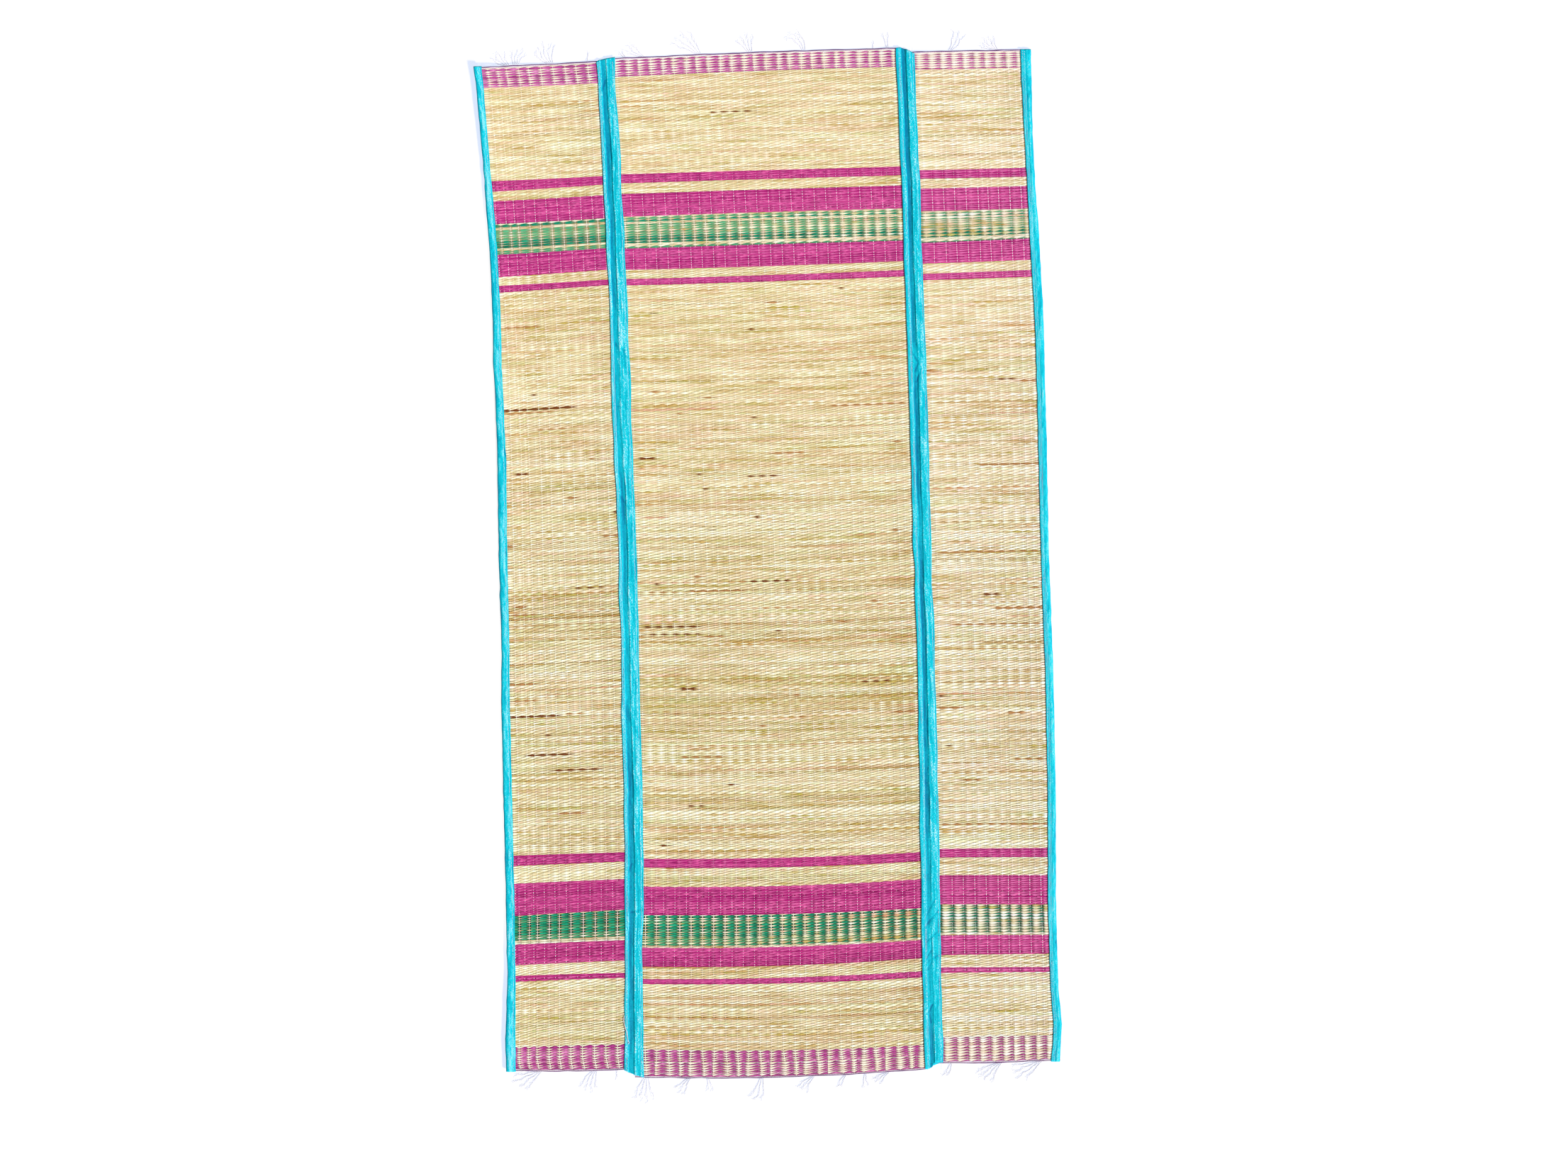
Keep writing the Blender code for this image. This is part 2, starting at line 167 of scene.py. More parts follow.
# How much a reed swells at its crossings, and how much it takes part in its panel's growth, also
# in the first and last row of each kind of weave
CROSSING_SWELL = {"straw": 0.15, "magenta": 0.17, "green": 0.24, "band": 0.24}
GROWTH_SHARE = {"straw": 0.65, "magenta": 0.6, "green": 1.0, "band": 1.0}
EDGE_GROWTH = 0.5
EDGE_SWELL = 0.35
GROWTH_UNEVENNESS = 0.10

# How fully a reed bends up and down at its crossings, and how far it bows to the near end of the
# mat at a main thread and to the far end at a second one, in the far and the near half of the mat
BEND = {
    "straw": (0.9, 0.9, 0.9, 0.9, 0.9),
    "magenta": (0.35, 0.85, 0.45, 0.45, 0.45),
    "green": (0.7, 0.7, 0.7, 0.7, 0.7),
    "band": (0.7, 0.7, 0.7, 0.7, 0.7),
}
FAR_BOW = {"straw": 0.05, "magenta": 0.10, "green": 0.15, "band": 0.10}
NEAR_BOW = {"straw": 0.05, "magenta": 0.10, "green": 0.35, "band": 0.70}
BOW_SHAPE = np.array([-1.0, 1.0, -0.25, -0.30, 0.0])

# Places along a reed where its shape is set: on a main thread and on a second one, and in dyed
# stripes also a little after and before each main one
ON_MAIN, ON_SECOND, AFTER_MAIN, BEFORE_MAIN, AT_EDGE = range(5)

# How far on from the last thread the extra place lies, and what it is, by the thread it comes before
EXTRA_PLACES = {ON_SECOND: (0.42, AFTER_MAIN), ON_MAIN: (0.70, BEFORE_MAIN)}

# How far a reed that passes over the main threads is up, and how much it swells, at each of them
FIRST_UP = np.array([1.0, 0.0, 0.45, 0.85, 0.5])
FIRST_SWELL = np.array([0.9, -1.2, 0.30, 0.70, 0.0])

# The least and most of a row that one of its two reeds may take up, in each kind of weave
REED_LIMITS = {
    "straw": (0.14, 0.92),
    "magenta": (0.14, 0.92),
    "green": (0.16, 0.84),
    "band": (0.14, 0.92),
}

# How light a reed stays under the painted shade where it dips under a thread, how far beside the thread
# that painted shade shows, how low a dip starts, and how much of the painted shade a faded reed loses
DIP_SHADE = {
    "straw": (0.84, 0.75, 0.55),
    "magenta": (0.80, 0.70, 0.74),
    "green": (0.12, 0.15, 0.15),
    "band": (0.55, 0.45, 0.48),
}
DIP_SHIFT = 2.2 * MM
DIP_FROM = 0.25
FADED_CLEAR = 0.6

# How light the edges of a reed stay under their painted shade, and the far edge of the first reed of
# each kind of weave under a deeper painted shade
EDGE_SHADE = {"straw": 1.0, "magenta": 0.85, "green": 0.8, "band": 0.8}
FIRST_REED_SHADE = 0.5

# How free of the material's painted crease shade the edge of a reed is, and how much more so where it
# passes over a thread, and how much calmer the weave looks at the far end, where it has flattened and
# its painted shade is lighter, than at the near end
EDGE_CLEAR = {"straw": 0.0, "magenta": 0.40, "green": 0.0, "band": 0.15}
OVER_CLEAR = 0.18
CALM_CLEAR = 0.75
FAR_CALM = 0.45
CALM_START = -0.10
CALM_END = 0.45
STRAW_CALM = 0.45

# Stained stretches of single reeds and painted shadow rows, as their ends and height in the picture.
# The order matters: each takes the nearest reed that has none yet
STAINS_AND_SHADOWS = {
    "brown": (
        (976, 998, 386), (644, 684, 417.5), (1095, 1109, 476.5), (1176, 1190, 472),
        (1291, 1322, 485.5), (828, 843, 499.5), (893, 911, 507.5), (1055, 1156, 516),
        (644, 708, 526.5), (860, 872, 527), (682, 726, 547.5), (1131, 1154, 563.5),
        (981, 1025, 577.5), (749, 760, 585), (1246, 1324, 592.5), (762, 771, 627.5),
        (720, 737, 635.5), (1135, 1154, 675.5), (766, 790, 683), (648, 661, 697), (1188, 1327, 704),
        (884, 896, 735), (830, 841, 749.5), (1312, 1329, 748.5), (876, 946, 754), (819, 862, 755),
        (1113, 1121, 766.5), (651, 672, 775), (1267, 1329, 775.5), (651, 687, 785),
        (1066, 1079, 793), (1210, 1329, 795.5), (890, 922, 811), (1064, 1078, 835),
        (651, 682, 872.5), (741, 753, 881), (1007, 1025, 886), (651, 684, 893.5),
        (1197, 1225, 903.5), (1134, 1169, 907.5), (1282, 1303, 908), (849, 868, 911),
        (713, 745, 910), (1014, 1024, 913), (963, 973, 926), (866, 923, 965), (1293, 1335, 967.5),
        (1222, 1250, 994), (707, 745, 1037.5), (1199, 1335, 1050.5), (848, 864, 1108),
    ),
    "dark": (
        (1066, 1075, 367), (831, 839, 400), (950, 960, 420.5), (905, 960, 142), (1265, 1290, 484),
        (1141, 1147, 489), (675, 686, 504.5), (645, 730, 522), (961, 967, 532.5), (813, 835, 584.5),
        (659, 675, 604.5), (887, 897, 605), (955, 994, 607.5), (898, 911, 623.5), (780, 790, 653),
        (960, 969, 660), (901, 914, 676.5), (1188, 1199, 676.5), (947, 1008, 741),
        (830, 842, 744.5), (723, 768, 750), (1252, 1273, 758.5), (818, 890, 798.5),
        (988, 1004, 804), (822, 890, 809), (1095, 1134, 868), (865, 890, 878), (1195, 1208, 887.5),
        (653, 712, 913.5), (694, 708, 938), (1197, 1213, 951.5), (672, 730, 962), (703, 769, 982.5),
        (930, 942, 1000.5), (879, 896, 1028), (839, 854, 1078.5),
    ),
    "khaki_stain_and_shadow": (
        (961, 994, 487.5), (1188, 1322, 512.5), (1300, 1322, 563.5), (1188, 1326, 664.5),
        (1209, 1247, 690), (651, 790, 797), (1255, 1329, 818.5), (1195, 1331, 869),
        (877, 905, 956.5), (1197, 1250, 972.5), (1065, 1168, 979), (1199, 1335, 984),
    ),
    "red": (
        (807, 911, 523), (1258, 1322, 525.5), (815, 850, 659.5), (1292, 1323, 785),
    ),
}
# Least share of its row that a reed takes up along such a mark, and the colour of each kind: some brown
# and khaki ones are painted shadow rows, the rest stains
STAIN_AND_SHADOW_LEAST = 0.44
STAIN_AND_SHADOW_COLOURS = {
    "dark": (0.19, 0.055, 0.015),
    "brown": (0.47, 0.23, 0.09),
    "red": (0.72, 0.42, 0.30),
    "khaki_stain_and_shadow": (0.55, 0.38, 0.18),
}

# Main warp threads: distance from the visible left edge of the panel, in millimetres. The centre
# panel's are evenly spaced. A second thread lies this share of the way from each to the next
THREADS_MM = {
    "left": (11, 28, 43, 64, 82.5, 103, 124.5, 146, 166, 186.5),
    "centre": tuple(2.5 + 20.4 * number for number in range(25)),
    "right": (8.5, 31, 50.5, 70.5, 91.5, 112, 129, 149, 169, 188),
}
SECOND_THREAD_SHARE = 0.58

# The visible width of each panel, in millimetres, that the thread distances are measured in, how
# far its reeds reach into the cloth, and how far past it the last thread may lie
VISIBLE_WIDTHS_MM = {"left": 200.5, "centre": 496.5, "right": 193.0}
CLOTH_GRIP_MM = 6.0
LAST_THREAD_MM = 3.0

# How far the reeds over the second threads outgrow those over the main ones, at the left and
# right of each panel, and how much more they do so in the green stripes and in the bands
SECOND_GROWTH = {"left": (0.34, 0.30), "centre": (0.26, -0.06), "right": (-0.22, -0.30)}
GREEN_GROWTH = {"left": (0.54, 0.48), "centre": (0.27, -0.20), "right": (-0.44, -0.50)}
BAND_GROWTH = {"left": (0.08, 0.04), "centre": (0.0, -0.04), "right": (-0.20, -0.26)}

# A thread's size, its height over the panel's underside at main and second threads, and the wave
# that it wanders in, whose length in metres changes from thread to thread
THREAD_WIDTH = 1.5 * MM
THREAD_HEIGHT = 0.5 * MM
THREAD_RISE_MM = {
    "straw": (0.62, 0.40),
    "magenta": (0.32, 0.78),
    "thin": (0.32, 0.50),
    "green": (0.62, 0.40),
    "band": (0.62, 0.40),
}
THIN_STRIPE = 20.0 * MM
THREAD_STEP = 25.0 * MM
THREAD_INSET = 0.5 * MM
THREAD_WANDER = 0.5 * MM
THREAD_WAVE_LENGTH = 0.055
THREAD_WAVE_CHANGE = 0.004
THREAD_WAVE_KINDS = 7
THREAD_WAVE_PHASE = 1.7

# How far threads turn aside at the mat's ends, the painted shade on threads in undyed stretches,
# growing towards the far end, and how white they are at each side of a panel
THREAD_BEND_START = 876.0 * MM
THREAD_BEND_LENGTH = 22.0 * MM
THREAD_END_BENDS_MM = {
    "left": (5.0, 5.0, 4.0, 4.0),
    "centre": (2.5, 2.0, -2.0, -1.5, 3.0),
    "right": (0.5, -1.0),
}
FAR_THREAD_SHADE = 0.35
THREAD_WHITENESS = {"left": (1.0, 0.2), "centre": (0.3, 0.1), "right": (0.5, 0.9)}
THREAD_TINT = {
    "straw": (0.92, 0.80, 0.56),
    "magenta": (1.0, 0.80, 0.94),
    "green": (1.0, 0.97, 0.90),
    "band": (1.0, 0.97, 0.97),
}

# Where each cloth strip lies: the long line that it is measured from, its width, the side of the line
# that it is on, how light it is, how strongly painted light and shade follow its puckers, and its ends
# in millimetres at its left and right sides
CLOTH_COLUMNS = (
    "piece", "line", "width", "side", "tone", "pucker_shade",
    "top_left", "top_right", "bottom_left", "bottom_right",
)
CLOTH_ROWS = (
    ("hinge_left", "left_tape", TAPE_WIDTH, 1.0, 1.0, 0.12, 911, 916, -898, -911.5),
    ("hinge_right", "right_tape", TAPE_WIDTH, 1.0, 0.95, 0.12, 920, 911, -912.5, -902),
    ("binding_left", "left", BINDING_WIDTH, 1.0, 1.0, 0.16, 904.5, 904.5, -892, -892.5),
    ("binding_right", "right", BINDING_WIDTH, -1.0, 0.95, 0.16, 908, 907.5, -903.5, -904),
)
CLOTH = {row[0]: dict(zip(CLOTH_COLUMNS, row)) for row in CLOTH_ROWS}

# Upper face of each cloth strip: distance across it and height in millimetres, and how light it is,
# with painted shade in a tape's valley and at the rims, and lighter ridges as painted light
FACE_COLUMNS = ("across", "height", "tone")
CLOTH_FACES_MM = {
    "hinge_left": (
        (0, 3.9, 0.5), (0.8, 4.6, 0.96), (2.6, 4.5, 1.05), (5, 4.6, 1), (6.3, 4.1, 0.9),
        (6.9, 2.6, 0.56), (8.3, 2.15, 0.5), (12, 2.1, 0.58), (14.9, 2.5, 0.8), (16.2, 4, 0.94),
        (17.2, 4.8, 1.08), (19, 4.6, 0.98), (21, 4.3, 0.9), (23, 4.55, 1), (26, 4.4, 0.94),
        (28.6, 4.6, 1.06), (31, 4.5, 0.96), (32.3, 4.6, 0.86), (33, 3.9, 0.7),
    ),
    "hinge_right": (
        (0, 3.9, 0.46), (0.8, 4.6, 0.92), (4, 4.65, 0.99), (8, 4.6, 1.02), (9, 4.1, 0.9),
        (10, 2.6, 0.54), (11, 2.15, 0.46), (14, 2.1, 0.52), (16.3, 2.5, 0.76), (17.6, 4, 0.94),
        (18.6, 4.8, 1.04), (21, 4.55, 1.02), (25, 4.7, 1.04), (29.5, 4.5, 1.06), (31.5, 4.6, 0.9),
        (33, 3.9, 0.66),
    ),
    "binding_left": (
        (1.4, 3.9, 0.7), (2.6, 4.4, 0.86), (4.5, 4.7, 0.98), (7, 4.75, 1.04), (10, 4.6, 1.08),
        (12.5, 4.65, 1.04), (14.2, 4.5, 0.86), (15, 3.9, 0.74),
    ),
    "binding_right": (
        (1.4, 3.9, 0.88), (2.6, 4.4, 1), (4.5, 4.7, 1.04), (7, 4.75, 1.02), (10, 4.6, 1),
        (12, 4.5, 1.02), (14.2, 4.6, 1), (15, 3.9, 0.8),
    ),
}

# How far the two sides of an edge binding lie further in than its even width, in millimetres, far
# end first: the place along the mat, the fold round the reeds and the sewn side
BINDING_EDGES_MM = {
    "binding_left": (
        (901, -1, -1.6), (877, 0.7, -0.8), (735, 2.4, 0), (640, 2.2, 1.4), (545, 3, 2.2),
        (450, 1.8, 1.4), (377, -1.4, -0.8), (306, 0.6, 0), (211, -0.2, 0.8), (20, -0.8, 0),
        (-143, 1.8, 0.9), (-214, -1, -0.4), (-429, 0, 0.9), (-524, 1, 1.6), (-667, 2.6, 2.8),
        (-714, 4.6, 4.2), (-786, 2.6, 4.4), (-833, 1.4, 4.6), (-890, 3, 5.8),
    ),
    "binding_right": (
        (906, -2.2, 1.4), (854, -1, 3), (830, -0.6, 2), (734, 1.5, 1.2), (639, 1.5, 1),
        (592, -0.6, 1.3), (449, -1.4, 0), (306, 0.2, 0), (211, 0.6, 0.9), (20, 1.6, 1.2),
        (-240, -0.2, -0.5), (-476, -0.2, -0.5), (-619, 1.8, 1.4), (-771, 1.8, 1),
        (-810, -1.8, -1.7), (-838, -3.2, -2.7), (-871, -1, -1.2), (-900, 1.8, 2.6),
    ),
}

# How far the ends of a tape are worn or rounded back, in millimetres: distance across it, and how
# much shorter it is there
END_INSETS_MM = {
    ("hinge_left", "top"): ((0, 4), (4, 1), (14, 0), (33, 0.5)),
    ("hinge_left", "bottom"): ((0, 3), (6, 0.5), (18, 0), (33, 2)),
    ("hinge_right", "top"): ((0, 5), (3, 2), (9, 0), (18, 0.5), (26, 3), (33, 6.5)),
    ("hinge_right", "bottom"): (
        (0, 4), (4, 0.5), (13, 1), (19, 9), (22, 10), (28, 5), (33, 4),
    ),
}
END_FADE = 14.0 * MM

# Creases that run over a cloth strip: two ends, each as the distance across it and the place along the
# mat, and depth, all in millimetres. Then how far beside its line a crease reaches, how dark its
# painted shade is, and the depth whose painted shade is that dark
CREASES_MM = {
    "hinge_right": (
        (6.3, -657, 28.6, -635, 0.45), (7, -686, 30, -671, 0.4), (8, -713.6, 15, -703.6, 0.5),
        (9.5, -720.5, 30, -713.6, 0.35), (7, -640, 24, -612, 0.3), (10, -735, 17, -722, 0.35),
        (16, -800, 9, -812, 0.5), (9, -812, 14, -832, 0.4), (8, 372, 20, 352, 0.45),
        (20, 360, 12, 338, 0.45), (24, 345, 15, 320, 0.4), (16, 388, 26, 366, 0.35),
    ),
    "hinge_left": (
        (8, 405, 20, 380, 0.35), (20, 395, 28, 378, 0.35), (7, 130, 24, 108, 0.35),
        (12, -525, 6, -540, 0.35), (10, -612, 30, -600, 0.3), (6, 855, 14, 872, 0.35),
    ),
}
CREASE_REACH = 1.5 * MM
CREASE_PAINTED_SHADE = 0.30
CREASE_FULL = 0.4 * MM

# How a tape's valley runs, far end first: the place along the mat, its depth as a share, and how
# far it moves across. In places the cloth stands up in a soft ridge instead
VALLEYS_MM = {
    "hinge_left": (
        (920, 0.7, 1), (870, 1, 1), (625, 0.9, 1.3), (475, 0.8, -1.4), (400, 0.45, -2),
        (290, 0.55, -1.8), (190, 0.45, -1), (150, 0.95, 1), (0, 0.8, 0.4), (-100, 0.55, -0.5),
        (-280, 0.65, 0.4), (-340, 1, 0.6), (-600, 0.9, 1), (-760, 1, 1), (-910, 0.6, 1),
    ),
    "hinge_right": (
        (920, 1, 0.2), (560, 1, 0.2), (500, 0.8, -0.6), (395, 0.8, -0.6), (365, 0.25, 0.5),
        (335, 0.4, 1.5), (305, 0.9, -0.4), (130, 0.9, -0.4), (60, 0.5, 1), (-20, 0.9, -0.2),
        (-440, 0.9, -0.4), (-520, 0.45, 0.4), (-570, 0.6, -0.4), (-640, 0.3, 0), (-790, 0.25, 0.2),
        (-830, 0.8, 0.4), (-910, 0.7, 0),
    ),
}

# Underside of a tape's upper cloth, which dips to the lower cloth between the reeds, in millimetres
# across it and up, from its right side to its left
TAPE_BACK_MM = ((33, 3.6), (17.6, 3.6), (16.4, 1.1), (6.4, 1.1), (5.2, 3.6), (0, 3.6))

# Inside of a binding's fold and its lower layer, from the upper rim round to the outside of the
# lower one, in millimetres across it and up
BINDING_BACK_MM = (
    (15, 3.6), (8, 3.6), (2.4, 3.6), (1.4, 3), (1.1, 2.3), (1.4, 1.6), (2.4, 1), (8, 1), (15, 1),
    (15, 0), (8, 0), (2.4, 0), (0.9, 0.5), (0.15, 1.4), (0, 2.3), (0.4, 3.2),
)

# How far the sides of each kind of strip stray and over how many rows, and what closes its section
TAPE = {"wander": 0.75 * MM, "span": 24, "back": TAPE_BACK_MM, "back_tone": 0.7}
BINDING = {"wander": 0.22 * MM, "span": 6, "back": BINDING_BACK_MM, "back_tone": 0.72}
LOWER_TAPE_STEP = 16
LOWER_TAPE_TONE = 0.85

# Stitch lines: distance across each strip, how far each stitch slants and how long it is
STITCH_LINES_MM = (
    ("hinge_left", 1.9, 0.3, 2.1),
    ("hinge_left", 4.4, -0.3, 2.1),
    ("hinge_left", 28.8, 0.4, 2.2),
    ("hinge_right", 5.6, 0.7, 2),
    ("hinge_right", 7.4, -0.7, 2),
    ("hinge_right", 29.8, 0.4, 2.2),
    ("binding_left", 11.2, 0.2, 2.3),
    ("binding_right", 9.6, 1.6, 2),
    ("binding_right", 12.4, -0.4, 1.8),
)
STITCH_PITCH = 2.9 * MM
STITCH_WIDTH = 0.9 * MM
STITCH_COLOUR = (0.72, 0.95, 1.1)
STITCH_HEIGHT = 0.4 * MM
STITCH_DIP = 0.35 * MM
STITCH_REACH = 1.4 * MM
STITCH_PHASE = 0.37
DIP_BETWEEN = 0.35

# The three nodes of a stitch, its width and how far it sinks at each, and how far stitches stray
STITCH_NODES = np.array([-0.5, 0.0, 0.5])
STITCH_TAPER = np.array([0.5, 1.0, 0.5])
STITCH_SINK = np.array([0.2, 0.0, 0.2]) * MM
STITCH_STRAY_ALONG = 0.25 * MM
STITCH_STRAY_ACROSS = 0.15 * MM
STITCH_STRAY_LEAN = 0.2

# The grid of a strip's face, how far in from its sides the wrinkles and the valley start, and the
# wrinkles' kinds, each as its size and the number of rows that it takes
CLOTH_ROW_STEP = 2.3 * MM
CLOTH_COLUMN_STEP = 1.3 * MM
FACE_MARGIN = 2.0 * MM
VALLEY_MARGIN = 5.0 * MM
WRINKLE_HEIGHT = 0.22 * MM
WRINKLE_PITCH = 2.0 * MM
WRINKLE_SLANT = 2
SHORT_WRINKLES = (0.4, 2)
LONG_WRINKLES = (0.8, 14)
SLANTED_WRINKLES = (0.35, 3)

# The dark last reed at each end of a panel, and the thread ends that run along inside it: how far
# in, how wide, how high over the panel's underside and how thick, in millimetres
END_COLUMNS = ("name", "slot", "inset", "width", "rise", "height", "colour")
END_ROWS = (
    ("end_reed", "straw", 1.0, 1.7, 0.7, 1.1, (0.15, 0.05, 0.17)),
    ("end_run", "thread", 2.6, 1.2, 1.0, 0.8, (0.92, 0.80, 0.86)),
)
END_REED_STEP = 7.0 * MM
END_WANDER = 0.25 * MM
END_WANDER_NODES = 3
END_STRAY = 0.15 * MM
END_STRAY_NODES = 2
END_UNEVENNESS = 0.12

# Tufts of loose thread at each end of each panel: place across the mat in millimetres, lean from
# straight out and further bend in degrees (plus is towards +X), length in millimetres, and
# number of strands
TUFT_COLUMNS = ("x", "lean", "bend", "length", "strands")
TUFTS = {
    ("left", "top"): (
        (-443, -50, 20, 34, 4), (-428, 8, 12, 31, 4), (-366, -38, 60, 44, 5), (-300, 6, 0, 18, 1),
    ),
    ("centre", "top"): (
        (-232, -40, -10, 17, 2), (-200, -62, 20, 36, 3), (-100, -42, -14, 55, 4),
        (-8, -24, 10, 36, 4), (88, -16, -60, 42, 3), (212, 0, 5, 12, 1), (238, -10, 8, 30, 2),
    ),
    ("right", "top"): (
        (350, 40, -42, 40, 3), (430, -50, 12, 30, 5),
    ),
    ("left", "bottom"): (
        (-440, -66, -8, 52, 5), (-340, -32, 30, 42, 4), (-300, -8, 4, 15, 1),
    ),
    ("centre", "bottom"): (
        (-248, -14, 12, 46, 4), (-172, -44, 14, 32, 3), (-138, 14, -30, 24, 2),
        (-42, -10, -26, 42, 3), (50, -50, 14, 34, 3), (108, -36, 12, 24, 2), (144, -6, 16, 25, 2),
        (184, -58, 6, 28, 3),
    ),
    ("right", "bottom"): (
        (298, -20, -30, 26, 2), (384, -54, 8, 46, 4), (456, -62, -4, 54, 4),
    ),
}

# A loose end of sewing thread on the left tape, as points in the picture and heights
LOOSE_THREAD = (
    (796.1, 1295.2, 3.6), (795.7, 1302.0, 3.8), (797.5, 1308.8, 4.8), (799.1, 1314.5, 5.2),
    (800.6, 1320.0, 5.2), (801.1, 1325.5, 5.2), (802.9, 1329.6, 5.1), (801.4, 1331.0, 5.1),
)
LOOSE_WIDTH = 1.0 * MM

# The strands of a tuft: how far apart they start, how they come down and spread, and how much
# shorter each is than the one inside it, and every second one again
STRAND_PITCH = 2.6 * MM
STRAND_STUB = 1.0 * MM
STRAND_DROP = 6.0 * MM
STRAND_SPREAD = math.radians(13.0)
STRAND_NODES = 20
STRAND_ROOT_HEIGHT = 0.25 * REED_THICKNESS
STRAND_PHASE = 0.3
OUTER_SHORTER = 0.09
SECOND_SHORTER = 0.06

# The yarns of a strand: how they turn round each other and open, and how far and in how long a
# curl they bend aside near their tips
YARNS = 3
YARN_WIDTH = 0.44 * MM
YARN_TURN = 7.0 * MM
YARN_SPREAD = 0.35 * MM
YARN_OPENING = 3.0
YARN_RISE = 0.3 * MM
YARN_TIP = 0.6
YARN_CURL = 3.4 * MM
CURL_SIZES = (0.4, 1.3)
CURL_LENGTHS = (17.0 * MM, 34.0 * MM)
TUFT_COLOUR = (0.82, 0.84, 0.96)

# The picture's size in its own points, its middle and width on the mat's plane, and its turn
PICTURE_WIDTH = 2000.0
PICTURE_MIDDLE = (1000.0, 750.0)
VIEW_CENTRE = (24.3 * MM, -42.7 * MM)
VIEW_WIDTH = 2.807
VIEW_TURN = math.radians(-1.7)
CAMERA_HEIGHT = 4.0
SENSOR_WIDTH = 36.0

# The floor lies just under the mat: a square within a larger one that reaches the horizon
FLOOR_HEIGHT = -0.2 * MM
FLOOR_REACHES = (15.0, 400.0)

# Where the floor starts to glow, across and along the mat from its middle, where its look changes
# to that of the mat's ends, and its colours in the middle and there
GLOW_START = (0.47, 0.88)
GLOW_FADE = 0.015
FLOOR_END_FADE = (0.60, 0.74)
FLOOR_COLOURS = {
    "Base Color": ((0.10, 0.10, 0.10, 1.0), (0.34, 0.25, 0.08, 1.0)),
    "Emission Color": ((0.92, 0.92, 0.92, 1.0), (0.62, 0.72, 0.95, 1.0)),
}

# Even light from all round, and the sun's strength, size and turn
SKY_STRENGTH = 0.36
SUN_STRENGTH = 4.9
SUN_SIZE = math.radians(8.0)
SUN_TURN = (math.radians(37.0), math.radians(48.0), 0.0)

# Undyed reeds: their middle colour, and how they differ from it towards two others, in waves of
# this many reeds, from reed to reed, in the few brown ones and from end to end, up to the limits
CREAM = (0.85, 0.75, 0.515)
STRAW_CHANGES = (
    {
        "more": (0.82, 0.62, 0.44), "less": (0.72, 0.70, 0.40), "slow": 0.18, "span": 4,
        "each": 0.20, "brown": 0.9, "drift": 0.7, "limits": (-1.5, 2.2),
    },
    {
        "more": (0.95, 0.915, 0.78), "less": (0.52, 0.395, 0.185), "slow": 0.22, "span": 5,
        "each": 0.36, "brown": -0.8, "drift": -0.5, "limits": (-1.35, 1.0),
    },
)
BROWN_SHARE = 0.015
PATCH_SIZES = (0.14, 0.15)
PATCH_STEPS = (-2, -1, 0, 1, 2)
STRAW_LIMITS = (0.02, 0.97)
NEAR_TONE = (1.02, 1.055, 1.09)
FAR_TONE = (0.975, 0.965, 0.955)
PANEL_TONES = {"left": (1.0, 1.0, 1.0), "centre": (1.0, 1.0, 1.0), "right": (1.02, 1.03, 1.13)}

# Dyed reeds: colours, the dye lost by a whole reed and at one place, and pale and dark streaks
MAGENTA = (0.42, 0.008, 0.17)
PALE_MAGENTA = (0.85, 0.14, 0.42)
GREEN = (0.01, 0.30, 0.162)
LIME = (0.02, 0.48, 0.26)
REED_DYE_LOSS = 0.22
PLACE_DYE_LOSS = 0.16
PALE_STREAK = 0.5
PALE_STREAK_SHARE = 0.12
DARK_STREAK = 0.72
DARK_STREAK_FROM = 0.86
# Painted highlight along the crest of magenta reeds over the main threads: its colour, its strength at
# each place and in each panel
GLINT_COLOUR = (0.85, 0.25, 0.54)
GLINTS = np.array([0.40, 0.20, 0.30, 0.50, 0.0])
GLINT_SHARE = {"left": 0.9, "centre": 1.0, "right": 1.6}
# Colours of the dyed and plain reeds in the bands at the ends
BAND_SHADE = (0.95, 1.9, 1.36)
BAND_CREAM = (1.0, 0.88, 0.80)

# Green reeds: how deep they are at second threads on the right, and how they turn pale or yellow
# where they lost dye and beside main threads, in the far and the near half of the mat
DEEP_GREEN_SHADE = 0.32
PALE_GREEN = (0.28, 0.56, 0.22)
PALE_GREEN_SHARE = 0.8
FADED_GREEN = (0.60, 0.52, 0.28)
GREEN_FADES = (0.45, 0.05)
GREEN_FADE_ACROSS = 0.35
GREEN_FADE_LOST = 0.4
GREEN_FADE_MOST = 0.9

# Colours of the materials, with the painted shade in the reeds' creases and the painted highlight on
# the cloth, and how fine the streaks of each cloth are and how strong its painted highlight is
CREASE_SHADE_COLOUR = (0.50, 0.40, 0.24, 1.0)
THREAD_DARK = (0.78, 0.70, 0.74, 1.0)
THREAD_PALE = (0.97, 0.93, 0.95, 1.0)
CLOTH_DEEP = (0.0, 0.17, 0.33, 1.0)
CLOTH_LIGHT = (0.0, 0.60, 0.72, 1.0)
CLOTH_HIGHLIGHT = (0.55, 0.86, 0.97, 1.0)
TAPE_GRAIN = ((900.0, 380.0, 1.0), 0.85)
FOLD_GRAIN = ((500.0, 900.0, 1.0), 0.45)

# Numbers of a mix node's two colour sockets and of its colour output
MIX_INPUTS = (6, 7)
MIX_OUTPUT = 2

# Seeds of the random draws, each the first of its kind
SEEDS = {"reeds": 11, "tapes": 20, "bindings": 30, "stitches": 40, "ends": 50, "tufts": 60}

PANELS = ("left", "centre", "right")


def named_rows(columns, rows):
    """Give each value in some rows the name of its column."""
    return [dict(zip(columns, row)) for row in rows]


def line_at(name, y):
    """Read one of the mat's long lines at places along it."""
    return np.interp(y, LINES["y"], LINES[name])


def binding_edges(piece, y):
    """How far the fold and the sewn side of an edge binding lie further in than its even width."""
    along, fold, sewn = np.array(BINDING_EDGES_MM[piece][::-1]).T * MM
    return np.interp(y, along, fold), np.interp(y, along, sewn)


